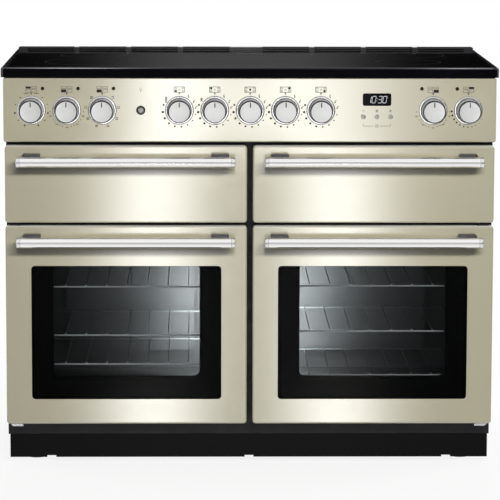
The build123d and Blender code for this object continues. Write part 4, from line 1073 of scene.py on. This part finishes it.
class COOKER_OT_print_windows(bpy.types.Operator):
    """Print the black border behind the outer pane of each oven door"""

    bl_idname = "cooker.print_windows"
    bl_label = "Print Window Borders"

    VIEW_HALF = 162.5 * MM
    VIEW_FLOOR = 46.5 * MM
    VIEW_CORNER = 14.0 * MM
    PANE = 4.0 * MM
    PANE_MARGIN = 12.0 * MM
    GAP = 0.1 * MM
    THICKNESS = 0.2 * MM

    def execute(self, context):
        for door in OVEN_DOORS:
            low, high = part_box(f"{door}_glass")
            back = low.y + self.PANE + self.GAP
            middle = (low.x + high.x) / 2
            left, right = middle - self.VIEW_HALF, middle + self.VIEW_HALF
            sill = low.z + self.PANE_MARGIN + self.VIEW_FLOOR
            corner = self.VIEW_CORNER
            outline = [(low.x, high.z), (low.x, low.z), (high.x, low.z), (high.x, high.z), (right, high.z)]
            outline += arc(right - corner, sill + corner, corner, 0, -90, 8)
            outline += arc(left + corner, sill + corner, corner, -90, -180, 8)
            outline.append((left, high.z))
            bm = bmesh.new()
            prism(bm, outline, back, self.THICKNESS)
            piece(f"{door}_window_border", bm, (WINDOW_PRINT,), door)
        return {"FINISHED"}


class COOKER_OT_print_dials(bpy.types.Operator):
    """Print the dial marks round the knobs"""

    bl_idname = "cooker.print_dials"
    bl_label = "Print Dials"

    # Angles run clockwise from the top, and a reach is a share of the dial's radius
    ZERO_HEIGHT = 6.4 * MM
    ZERO_WEIGHT = 0.05
    TEMPERATURES = {110: "50", 145: "100", 180: "150", 215: "200", 250: "250"}
    TEMPERATURE_HEIGHT = 4.6 * MM
    TEMPERATURE_WEIGHT = 0.02
    TEMPERATURE_REACH = 1.04
    TEMPERATURE_DOTS = (95, 125, 135, 155, 165, 195, 205, 225, 235, 265)
    TEMPERATURE_DOT = 1.1 * MM
    GRILL_DOTS = {41: 1.5, 70: 1.2, 100: 2.1, 128: 1.4, 156: 2.0}
    GRILL_DASH_PLACE = 11.5 * MM
    GRILL_DASH = (10.0 * MM, 1.2 * MM)
    TICKS = (31, 57, 78)
    TICK = (1.5 * MM, 4.8 * MM)
    TICK_REACH = 1.05
    TICK_DOT = 1.5 * MM
    TICK_DOT_STEP = 4
    TICK_DOT_REACH = 0.98
    HEAT_DOTS = {"count": 8, "start": 105, "end": 264, "first": 1.4 * MM, "last": 2.7 * MM}
    FULL_HEAT = 289
    FULL_HEAT_DOT = 2.3 * MM
    BOOST = 309
    BOOST_REACH = 1.02
    BOOST_PITCH = 2.7 * MM
    BOOST_BAR = (4.8 * MM, 1.9 * MM)
    BOOST_BARS = (5, 3, 0, 0, 0)
    FUNCTIONS = ((1,), (-1,), (1, -1), (0,), (1, 0), (0, -1), (), (1, 0, -1))
    FUNCTION_STEP = 40
    FUNCTION_BOX = 5.2 * MM
    FUNCTION_LINE = 0.55
    FUNCTION_LINE_STEP = 0.28
    SLOW_DOTS = {"count": 11, "start": 267, "end": 124, "first": 2.4 * MM, "last": 0.8 * MM}

    def row_of_dots(self, ink, knob, count, start, end, first, last):
        """Dots from one angle to another that grow or shrink evenly."""
        for step in range(count):
            share = step / (count - 1)
            ink.dot(*on_dial(knob, start + (end - start) * share), first + (last - first) * share)

    def temperature_dial(self, ink, knob):
        """Dots with plain numbers between them."""
        for degrees, number in self.TEMPERATURES.items():
            place = on_dial(knob, degrees, self.TEMPERATURE_REACH)
            ink.numeral(number, *place, self.TEMPERATURE_HEIGHT, self.TEMPERATURE_WEIGHT)
        for degrees in self.TEMPERATURE_DOTS:
            ink.dot(*on_dial(knob, degrees), self.TEMPERATURE_DOT)

    def grill_dial(self, ink, knob):
        """Dots on both sides and a dash each side of the top."""
        centre = axis_of(knob)
        for side in (-1, 1):
            for degrees, radius in self.GRILL_DOTS.items():
                ink.dot(*on_dial(knob, side * degrees), radius * MM)
            dash_x = centre.x + side * self.GRILL_DASH_PLACE
            ink.bar(dash_x, centre.z + controls().dial_radius, *self.GRILL_DASH)

    def zone_dial(self, ink, knob, boost_bars):
        """Low-heat ticks, dots that grow with the heat and, on two zones, a stack of boost bars."""
        for degrees in self.TICKS:
            ink.bar(*on_dial(knob, degrees, self.TICK_REACH), *self.TICK, degrees)
            ink.dot(*on_dial(knob, degrees + self.TICK_DOT_STEP, self.TICK_DOT_REACH), self.TICK_DOT)
        self.row_of_dots(ink, knob, **self.HEAT_DOTS)
        ink.dot(*on_dial(knob, self.FULL_HEAT), self.FULL_HEAT_DOT)
        x, z = on_dial(knob, self.BOOST, self.BOOST_REACH)
        for bar in range(boost_bars):
            height = (bar - (boost_bars - 1) / 2) * self.BOOST_PITCH
            ink.bar(x, z + height, *self.BOOST_BAR)

    def function_dial(self, ink, knob):
        """Eight cooking functions as small boxes with different heat lines."""
        size = self.FUNCTION_BOX
        line = controls().line
        for index, heats in enumerate(self.FUNCTIONS):
            x, z = on_dial(knob, self.FUNCTION_STEP * (index + 1))
            ink.outline(x, z, size, size, line)
            for heat in heats:
                ink.bar(x, z + heat * size * self.FUNCTION_LINE_STEP, size * self.FUNCTION_LINE, line)

    def execute(self, context):
        ink = Print()
        for knob in KNOBS:
            ink.numeral("0", *on_dial(knob, 0), self.ZERO_HEIGHT, self.ZERO_WEIGHT)
        self.grill_dial(ink, "grill_knob")
        self.temperature_dial(ink, "left_oven_temperature_knob")
        self.temperature_dial(ink, "right_oven_temperature_knob")
        self.function_dial(ink, "left_oven_function_knob")
        for knob, boost_bars in zip(ZONE_KNOBS, self.BOOST_BARS):
            self.zone_dial(ink, knob, boost_bars)
        self.row_of_dots(ink, "slow_cook_knob", **self.SLOW_DOTS)
        ink.finish("dial_print")
        return {"FINISHED"}


class COOKER_OT_print_symbols(bpy.types.Operator):
    """Print the symbols that say which oven or zone a knob serves"""

    bl_idname = "cooker.print_symbols"
    bl_label = "Print Symbols"

    OVEN_CELLS = {
        "grill_knob": (-1, 1),
        "left_oven_temperature_knob": (-1, -1),
        "left_oven_function_knob": (-1, -1),
        "right_oven_temperature_knob": (1, -1),
        "slow_cook_knob": (1, 1),
    }
    UPPER_SHARE = 0.36
    ZONE_PLACES = ((-1, -1), (-1, 1), (0, 0), (1, 1), (1, -1))
    ZONE_FRAME = 1.5
    ZONE_STEP_X = 0.32
    ZONE_STEP_Z = 0.22
    ZONE_DOT = 0.2
    ZONE_RING = 0.16
    LAMP_RISE = 1.0 * MM
    LAMP_BULB = 2.9 * MM
    LAMP_LINE = 0.8
    LAMP_CAP = {2.6: 2.8, 3.7: 2.3, 4.8: 1.8}

    def oven_symbol(self, ink, x, z, chosen):
        """Four compartments as boxes, the chosen one filled."""
        sizes = controls()
        gap = sizes.line * 2
        width = (sizes.symbol_width - gap) / 2
        upper = sizes.symbol_height * self.UPPER_SHARE
        heights = {1: upper, -1: sizes.symbol_height - upper - gap}
        for column in (-1, 1):
            for row, height in heights.items():
                cell_x = x + column * (width + gap) / 2
                cell_z = z + row * (sizes.symbol_height - height) / 2
                if (column, row) == chosen:
                    ink.bar(cell_x, cell_z, width, height)
                else:
                    ink.outline(cell_x, cell_z, width, height, sizes.line, 1)

    def zone_symbol(self, ink, x, z, chosen):
        """The hob as a box with five rings, the chosen one filled."""
        sizes = controls()
        ink.outline(x, z, sizes.symbol_width, sizes.symbol_height, sizes.line * self.ZONE_FRAME, 1)
        for place in self.ZONE_PLACES:
            zone_x = x + place[0] * sizes.symbol_width * self.ZONE_STEP_X
            zone_z = z + place[1] * sizes.symbol_height * self.ZONE_STEP_Z
            if place == chosen:
                ink.dot(zone_x, zone_z, sizes.symbol_height * self.ZONE_DOT)
            else:
                ink.ring(zone_x, zone_z, sizes.symbol_height * self.ZONE_RING, sizes.line, 1)

    def lamp_symbol(self, ink, x, z):
        """A small lamp bulb in outline."""
        line = controls().line * self.LAMP_LINE
        ink.ring(x, z + self.LAMP_RISE, self.LAMP_BULB, line, 1)
        for drop, width in self.LAMP_CAP.items():
            ink.bar(x, z - drop * MM, width * MM, line, band=1)

    def execute(self, context):
        ink = Print()
        height = FASCIA_HIGH.z - controls().symbol_drop
        for knob, chosen in self.OVEN_CELLS.items():
            self.oven_symbol(ink, axis_of(knob).x, height, chosen)
        for knob, chosen in zip(ZONE_KNOBS, self.ZONE_PLACES):
            self.zone_symbol(ink, axis_of(knob).x, height, chosen)
        self.lamp_symbol(ink, axis_of("light_button").x, height)
        ink.finish("symbol_print")
        return {"FINISHED"}


class COOKER_OT_set_clock(bpy.types.Operator):
    """Set the clock: lit figures on the lens and the print round the buttons"""

    bl_idname = "cooker.set_clock"
    bl_label = "Set Clock"

    TIME = {-1.5: "1", -0.6: "0", 0.6: "3", 1.5: "0"}
    SEGMENTS = {"0": "abcdef", "1": "bc", "3": "abcdg"}
    LENS_DROP = 48.0 * MM
    FIGURE_HEIGHT = 14.6 * MM
    FIGURE_WIDTH = 7.6 * MM
    FIGURE_PITCH = 11.4 * MM
    STROKE = 1.15 * MM
    STROKE_GAP = 0.2
    SLANT = 0.18
    COLON_LEAN = 0.5 * MM
    COLON_RISE = 2.6 * MM
    COLON_DOT = 0.7 * MM
    SIGN_LINE = 1.2
    SIGN_RISE = 13.0 * MM
    SIGN = 6.0 * MM
    MODE_BAR = 5.5 * MM
    MODE_PITCH = 2.0 * MM
    RULE_LINE = 0.8
    RULE_DROP = 20.5 * MM
    RULE_GAP = 6.0 * MM
    RULE_TICK = 4.5 * MM
    DIAL = 3.4 * MM
    MINUTE_HAND = 2.2 * MM
    MINUTE_RISE = 0.9 * MM
    HOUR_HAND = 1.8 * MM
    HOUR_REACH = 0.8 * MM

    def segment_ends(self, segment):
        """End points of one stroke of a seven-stroke figure, from its centre."""
        w, h = self.FIGURE_WIDTH / 2, self.FIGURE_HEIGHT / 2
        return {
            "a": ((-w, h), (w, h)),
            "b": ((w, h), (w, 0)),
            "c": ((w, 0), (w, -h)),
            "d": ((-w, -h), (w, -h)),
            "e": ((-w, 0), (-w, -h)),
            "f": ((-w, h), (-w, 0)),
            "g": ((-w, 0), (w, 0)),
        }[segment]

    def stroke(self, ink, x, z, ends):
        """A stroke with pointed ends, leaning to the right."""
        start, end = Vector(ends[0]), Vector(ends[1])
        way = (end - start).normalized()
        side = Vector((-way.y, way.x)) * self.STROKE / 2
        tip = way * self.STROKE / 2
        gap = way * self.STROKE * self.STROKE_GAP
        points = [start + gap, start + gap + tip + side, end - gap - tip + side]
        points += [end - gap, end - gap - tip - side, start + gap + tip - side]
        ink.plate([(x + point.x + point.y * self.SLANT, z + point.y) for point in points])

    def figures(self):
        """The time on the lens, with a colon that leans as the figures do."""
        lit = Print(LENS_FRONT)
        centre = axis_of("clock_mode_button").x
        height = FASCIA_HIGH.z - self.LENS_DROP
        for place, figure in self.TIME.items():
            for segment in self.SEGMENTS[figure]:
                self.stroke(lit, centre + place * self.FIGURE_PITCH, height, self.segment_ends(segment))
        for row in (-1, 1):
            lit.dot(centre + row * self.COLON_LEAN, height + row * self.COLON_RISE, self.COLON_DOT)
        lit.finish("clock_figures", (LIT_DIGITS,))

    def button_print(self):
        """A minus, three bars and a plus over the buttons, and a bracket with a dial under them."""
        ink = Print()
        line = controls().line * self.SIGN_LINE
        thin = line * self.RULE_LINE
        minus, mode, plus = (axis_of(name) for name in CLOCK_BUTTONS)
        for place in (minus, plus):
            ink.bar(place.x, place.z + self.SIGN_RISE, self.SIGN, line)
        ink.bar(plus.x, plus.z + self.SIGN_RISE, line, self.SIGN)
        for row in (-1, 0, 1):
            ink.bar(mode.x, mode.z + self.SIGN_RISE + row * self.MODE_PITCH, self.MODE_BAR, line)
        height = mode.z - self.RULE_DROP
        for side, place in ((-1, minus), (1, plus)):
            inner = mode.x + side * self.RULE_GAP
            ink.bar((place.x + inner) / 2, height, abs(place.x - inner), thin, band=1)
            ink.bar(place.x, height + self.RULE_TICK / 2, thin, self.RULE_TICK + thin, band=1)
        ink.ring(mode.x, height, self.DIAL, thin, 1)
        ink.bar(mode.x, height + self.MINUTE_RISE, thin, self.MINUTE_HAND, band=1)
        ink.bar(mode.x + self.HOUR_REACH, height, self.HOUR_HAND, thin, band=1)
        ink.finish("clock_print")

    def execute(self, context):
        self.figures()
        self.button_print()
        return {"FINISHED"}


class COOKER_OT_mark_zones(bpy.types.Operator):
    """Print a ring for each cooking zone on the hob glass"""

    bl_idname = "cooker.mark_zones"
    bl_label = "Mark Cooking Zones"

    SIDE_X = 360.0 * MM
    SIDE_Y = 112.0 * MM
    ZONES = ((-1, -1, 200.0), (-1, 1, 150.0), (0, 0, 250.0), (1, 1, 200.0), (1, -1, 150.0))
    LINE = 1.4 * MM
    DEPTH = 0.05 * MM
    LIFT = 0.02 * MM
    STEPS = 96

    def execute(self, context):
        tray_low, tray_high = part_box("coil_tray")
        middle = (tray_low.y + tray_high.y) / 2
        upright = Matrix.Rotation(math.radians(-90), 4, "X")
        bm = bmesh.new()
        for column, row, diameter in self.ZONES:
            centre = Vector((column * self.SIDE_X, middle + row * self.SIDE_Y, HOB_TOP))
            radius = diameter * MM / 2
            ring = [
                (radius, self.LIFT),
                (radius, self.LIFT + self.DEPTH),
                (radius - self.LINE, self.LIFT + self.DEPTH),
                (radius - self.LINE, self.LIFT),
            ]
            turn(bm, ring, Matrix.Translation(centre) @ upright, self.STEPS, True)
        piece("zone_rings", bm, (ZONE_INK,), CARCASS)
        return {"FINISHED"}


class COOKER_OT_turn_lenses(bpy.types.Operator):
    """Turn the five domed indicator lenses"""

    bl_idname = "cooker.turn_lenses"
    bl_label = "Turn Indicator Lenses"

    OFFSET = 25.0 * MM
    RADIUS = 4.0 * MM
    STEM = 2.4 * MM
    DOME = (0.35, 0.6, 0.8, 0.92)
    DOME_STEPS = 32
    SIDES = {
        "grill_knob": 1,
        "left_oven_temperature_knob": 1,
        "left_oven_function_knob": 1,
        "right_oven_temperature_knob": -1,
        "slow_cook_knob": -1,
    }

    def execute(self, context):
        low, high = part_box("indicator_lenses")
        height = (low.z + high.z) / 2
        rise = FACE - low.y
        tail = high.y - FACE
        dome = [(0.0, -tail), (self.STEM, -tail), (self.STEM, 0.0), (self.RADIUS, 0.0)]
        for share in self.DOME:
            dome.append((self.RADIUS * math.sqrt(1 - share**4), rise * share))
        dome.append((0.0, rise))
        bm = bmesh.new()
        for knob, side in self.SIDES.items():
            centre = Vector((axis_of(knob).x + side * self.OFFSET, FACE, height))
            turn(bm, dome, Matrix.Translation(centre), self.DOME_STEPS)
        lenses = piece("domed_indicator_lenses", bm, (RED_LENS,), CARCASS, crease=60.0)
        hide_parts("indicator_lenses")
        return {"FINISHED"}


class COOKER_OT_set_stage(bpy.types.Operator):
    """Set the floor, the lights, the white surroundings and the camera"""

    bl_idname = "cooker.set_stage"
    bl_label = "Set Stage"

    WHITE = (1.0, 1.0, 1.0, 1.0)
    FLOOR_BOUNCE = (0.2, 0.2, 0.2)
    FLOOR_SEEN = (0.95, 0.95, 0.95, 1.0)
    FLOOR_STEPS = 64

    # Middle and size of each card, in metres
    FRONT_CARD = ((0.0, FACE - 2.5, -0.1225), (4.4, 1.155))
    FASCIA_CARD = ((0.0, FACE - 2.5, 0.7275), (4.4, 0.545))
    UPPER_CARD = ((0.0, FACE - 2.5, 2.5), (5.0, 1.8))
    RIGHT_FLAG = ((2.0, FACE - 1.2, 0.6), (2.2, 2.0))
    REAR_FLAG = ((0.0, 2.4, 1.35), (4.4, 0.9))
    CEILING_CARD = ((0.0, 1.4, 3.0), (4.4, 3.4))

    # Lean and swing of the cards that don't face the doors, in degrees
    OVERHEAD = (90.0, 0.0)
    SIDEWAYS = (0.0, 90.0)

    # Place and width of the glows, with the upper ones' share of the card's glow
    FASCIA_GLOWS = ((-0.204, 0.095, 1.0), (0.199, 0.19, 0.85))
    HOB_GLOWS = (-0.156, 0.189)
    HOB_GLINTS = {"left": (-0.44, 0.075), "right": (0.57, 0.05)}
    GLINT_Y = FACE - 0.07
    GLINT_HEIGHT = 2.0
    GLINT_SIZE = (0.7, 0.94)

    # Place, aim and size of each lamp, the side panels' for the right side
    KEY_STRIP = ((1.4, FACE - 5.0, 3.25), (0.0, FACE, 0.55), (4.0, 0.6))
    SIDE_PANEL = ((3.2, 1.0, 1.8), (0.5, 0.2, 0.5), (1.6, 1.6))
    REAR_PANEL = ((0.0, 3.4, 2.6), (0.0, 0.32, 0.5), (2.4, 1.2))
    OVEN_LAMP_INSET = 0.045
    OVEN_LAMP_REACH = (FACE + 0.32, 0.2)
    OVEN_LAMP_HEIGHT = 0.33
    OVEN_LAMP_SIZE = (0.1, 0.32)

    def stand(self, name, bm, material):
        """Put a mesh on the stage."""
        mesh = bpy.data.meshes.new(name)
        bm.to_mesh(mesh)
        bm.free()
        mesh.materials.append(material)
        made = bpy.data.objects.new(name, mesh)
        bpy.context.collection.objects.link(made)
        return made

    def floor(self, stage):
        """A pale round floor that takes a soft shadow and fades into the background."""
        material, tree, shader = new_finish("Pale floor", self.FLOOR_BOUNCE, roughness=0.85, specular=0.1)
        away = add_node(tree, "VectorMath", {0: own_place(tree)}, operation="LENGTH").outputs["Value"]
        fade = spread(tree, away, 0.0, 1.0, stage.fade_start, stage.fade_end)
        pale = add_node(tree, "BsdfDiffuse", {"Color": self.FLOOR_SEEN}).outputs["BSDF"]
        white = add_node(tree, "Emission").outputs["Emission"]
        lifted = blend(tree, stage.floor_lift, pale, white)
        to_camera = add_node(tree, "LightPath").outputs["Is Camera Ray"]
        seen = blend(tree, to_camera, shader.outputs["BSDF"], lifted)
        join(tree, tree.nodes["Material Output"], {"Surface": blend(tree, fade, seen, see_through(tree))})
        bm = bmesh.new()
        bmesh.ops.create_circle(bm, cap_ends=True, segments=self.FLOOR_STEPS, radius=stage.floor_radius)
        self.stand("floor", bm, material).visible_glossy = False

    def surroundings(self, stage):
        """A world that lights softly and shows white to the camera, to metal and to glass."""
        world = bpy.data.worlds.new("White surroundings")
        world.use_nodes = True
        tree = world.node_tree
        soft = tree.nodes["Background"]
        join(tree, soft, {"Color": self.WHITE, "Strength": stage.ambient})
        white = add_node(tree, "Background", {"Color": self.WHITE})
        rays = add_node(tree, "LightPath").outputs
        seen = rays["Is Camera Ray"]
        for kind in ("Is Glossy Ray", "Is Transmission Ray"):
            seen = compute(tree, "MAXIMUM", seen, rays[kind])
        surface = blend(tree, seen, soft.outputs["Background"], white.outputs["Background"])
        join(tree, tree.nodes["World Output"], {"Surface": surface})
        bpy.context.scene.world = world

    def card(self, name, place, size, level, glows=(), turned=(0.0, 0.0), soft=False, clear=False):
        """A card that only glossy surfaces see, with soft glows, a soft lower edge or nothing behind."""
        width, height = size
        material = bpy.data.materials.new(name)
        material.use_nodes = True
        tree = material.node_tree
        tree.nodes.remove(tree.nodes["Principled BSDF"])
        own = add_node(tree, "SeparateXYZ", {"Vector": own_place(tree)}).outputs
        brightness = level
        for centre, reach, peak in glows:
            steps = compute(tree, "DIVIDE", compute(tree, "SUBTRACT", own["X"], centre), reach)
            fall = compute(tree, "MULTIPLY", compute(tree, "MULTIPLY", steps, steps), -0.5)
            brightness = compute(tree, "MULTIPLY_ADD", compute(tree, "EXPONENT", fall), peak, brightness)
        surface = add_node(tree, "Emission", {"Strength": brightness}).outputs["Emission"]
        if soft:
            fade = spread(tree, own["Z"], 0.0, 1.0, -height / 2, height / 2)
            surface = blend(tree, fade, see_through(tree), surface)
        if clear:
            surface = add_node(tree, "AddShader", {0: surface, 1: see_through(tree)}).outputs["Shader"]
        join(tree, tree.nodes["Material Output"], {"Surface": surface})
        bm = bmesh.new()
        corners = ((-1, -1), (1, -1), (1, 1), (-1, 1))
        bm.faces.new([bm.verts.new((u * width / 2, 0.0, v * height / 2)) for u, v in corners])
        card = self.stand(name, bm, material)
        card.location = place
        lean, swing = turned
        card.rotation_euler = (math.radians(lean), 0.0, math.radians(swing))
        card.visible_camera = False
        card.visible_diffuse = False
        card.visible_transmission = False
        card.visible_shadow = False
        return card

    def cards(self, stage):
        """The cards in front, above and overhead, and the flags beyond the right side and the hob."""
        low_glows = [(x, stage.glow_width, stage.card_glow) for x in (stage.left_glow, stage.right_glow)]
        high_glows = [(x, width, stage.card_glow * share) for x, width, share in self.FASCIA_GLOWS]
        hob_glows = [(x, stage.hob_glow_width, stage.hob_glow) for x in self.HOB_GLOWS]
        self.card("front_card", *self.FRONT_CARD, stage.card_level, low_glows)
        self.card("fascia_card", *self.FASCIA_CARD, stage.card_level, high_glows)
        self.card("upper_card", *self.UPPER_CARD, stage.upper_level)
        self.card("right_flag", *self.RIGHT_FLAG, stage.right_flag_level, turned=self.SIDEWAYS)
        self.card("rear_flag", *self.REAR_FLAG, stage.rear_flag_level, hob_glows)
        self.card("ceiling_card", *self.CEILING_CARD, stage.ceiling_level, turned=self.OVERHEAD)

    def hob_glints(self, stage):
        """Glows at both ends that only the rounded edge of the hob mirrors."""
        edge = bpy.data.collections.new("Hob edge")
        edge.objects.link(frame["nodes"]["hob_frame"])
        for name, (x, width) in self.HOB_GLINTS.items():
            spot = ((x, self.GLINT_Y, self.GLINT_HEIGHT), self.GLINT_SIZE)
            glow = [(0.0, width, stage.glint_level)]
            glint = self.card(f"{name}_hob_glint", *spot, 0.0, glow, self.OVERHEAD, clear=True)
            glint.light_linking.receiver_collection = edge

    def handle_flags(self, stage):
        """Flags that keep the cards' glow off each handle's tube and out of the shadow below it."""
        radius = controls().bar_diameter / 2
        for door in DOORS:
            low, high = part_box(f"{door}_handle")
            middle = (low.x + high.x) / 2
            width = high.x - low.x
            axis = (low.z + high.z) / 2
            slope = (stage.camera_height - axis + radius) / stage.camera_reach
            top = axis - radius - slope * (FACE - low.y - radius + stage.flag_reach)
            place = (middle, FACE - stage.flag_reach, top - stage.flag_height / 2)
            self.card(f"{door}_flag", place, (width, stage.flag_height), stage.flag_level, soft=True)
            place = (middle, low.y - stage.tube_flag_reach, axis - stage.tube_flag_drop)
            self.card(f"{door}_tube_flag", place, (width, stage.tube_flag_height), stage.tube_flag_level)

    def panel(self, name, place, target, size, power):
        """A soft light panel that the camera, metal and glass don't see."""
        data = bpy.data.lights.new(name, "AREA")
        data.shape = "RECTANGLE"
        data.size, data.size_y = size
        data.energy = power
        lamp = bpy.data.objects.new(name, data)
        lamp.location = place
        lamp.rotation_euler = (Vector(target) - Vector(place)).to_track_quat("-Z", "Y").to_euler()
        lamp.visible_camera = False
        lamp.visible_glossy = False
        lamp.visible_transmission = False
        bpy.context.collection.objects.link(lamp)
        return lamp

    def keep_shadows_off_fascia(self, lamp):
        """Let the knobs and their bezels cast no shadow from a lamp."""
        unshaded = bpy.data.collections.new("Controls without shadow")
        for made in bpy.context.scene.objects:
            if "_turned_" in made.name or made.name == "turned_control_bezels":
                unshaded.objects.link(made)
        for link in unshaded.collection_objects:
            link.light_linking.link_state = "EXCLUDE"
        lamp.light_linking.blocker_collection = unshaded

    def lamps(self, stage):
        """The key strip, a panel beyond each side and behind, and a lamp in each oven."""
        key = self.panel("Key strip", *self.KEY_STRIP, stage.key_power)
        self.keep_shadows_off_fascia(key)
        place, target, size = self.SIDE_PANEL
        for side in (-1, 1):
            mirror = Vector((side, 1.0, 1.0))
            ends = (Vector(place) * mirror, Vector(target) * mirror)
            self.panel(f"Side panel {side}", *ends, size, stage.side_power)
        self.panel("Rear panel", *self.REAR_PANEL, stage.rear_power)
        for door, side in zip(OVEN_DOORS, (-1, 1)):
            low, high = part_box(f"{door}_glass")
            inner = high.x if side < 0 else low.x
            x = inner + side * self.OVEN_LAMP_INSET
            ends = ((x, y, self.OVEN_LAMP_HEIGHT) for y in self.OVEN_LAMP_REACH)
            lamp = self.panel(f"{door} lamp", *ends, self.OVEN_LAMP_SIZE, stage.oven_power)
            lamp.data.spread = stage.oven_spread

    def camera(self, stage):
        """A long lens in front, a little above the hob and left of the middle."""
        data = bpy.data.cameras.new("Camera")
        data.lens = stage.lens
        camera = bpy.data.objects.new("Camera", data)
        camera.location = (stage.camera_x, FACE - stage.camera_reach, stage.camera_height)
        level = math.cos(stage.camera_tilt)
        across, along = math.sin(stage.camera_yaw) * level, math.cos(stage.camera_yaw) * level
        ahead = Vector((across, along, -math.sin(stage.camera_tilt)))
        roll = Quaternion((0.0, 0.0, 1.0), stage.camera_roll)
        camera.rotation_euler = (ahead.to_track_quat("-Z", "Y") @ roll).to_euler()
        bpy.context.collection.objects.link(camera)
        bpy.context.scene.camera = camera

    def execute(self, context):
        stage = context.scene.cooker_stage
        self.floor(stage)
        self.surroundings(stage)
        self.cards(stage)
        self.handle_flags(stage)
        self.hob_glints(stage)
        self.lamps(stage)
        self.camera(stage)
        context.scene.view_settings.view_transform = "Standard"
        return {"FINISHED"}


OPERATORS = (
    COOKER_OT_finish_shell,
    COOKER_OT_turn_knobs,
    COOKER_OT_turn_bezels,
    COOKER_OT_turn_buttons,
    COOKER_OT_turn_lenses,
    COOKER_OT_build_handles,
    COOKER_OT_weave_shelves,
    COOKER_OT_fit_small_trim,
    COOKER_OT_print_windows,
    COOKER_OT_print_dials,
    COOKER_OT_print_symbols,
    COOKER_OT_set_clock,
    COOKER_OT_mark_zones,
    COOKER_OT_set_stage,
)


class COOKER_PT_sidebar(bpy.types.Panel):
    """Lists the steps that dress the cooker"""

    bl_idname = "COOKER_PT_sidebar"
    bl_label = "Range Cooker"
    bl_space_type = "VIEW_3D"
    bl_region_type = "UI"
    bl_category = "Cooker"

    def draw(self, context):
        for operator in OPERATORS:
            self.layout.operator(operator.bl_idname)


PROPERTY_GROUPS = {
    "cooker_finishes": CookerFinishes,
    "cooker_controls": CookerControls,
    "cooker_stage": CookerStage,
}


def register():
    for group in PROPERTY_GROUPS.values():
        bpy.utils.register_class(group)
    for name, group in PROPERTY_GROUPS.items():
        setattr(bpy.types.Scene, name, PointerProperty(type=group))
    for operator in OPERATORS:
        bpy.utils.register_class(operator)
    bpy.utils.register_class(COOKER_PT_sidebar)


def unregister():
    bpy.utils.unregister_class(COOKER_PT_sidebar)
    for operator in reversed(OPERATORS):
        bpy.utils.unregister_class(operator)
    for name, group in PROPERTY_GROUPS.items():
        delattr(bpy.types.Scene, name)
        bpy.utils.unregister_class(group)


def main():
    register()
    for operator in OPERATORS:
        family, step = operator.bl_idname.split(".")
        getattr(getattr(bpy.ops, family), step)()
    bpy.context.view_layer.update()


if __name__ == "__main__":
    main()
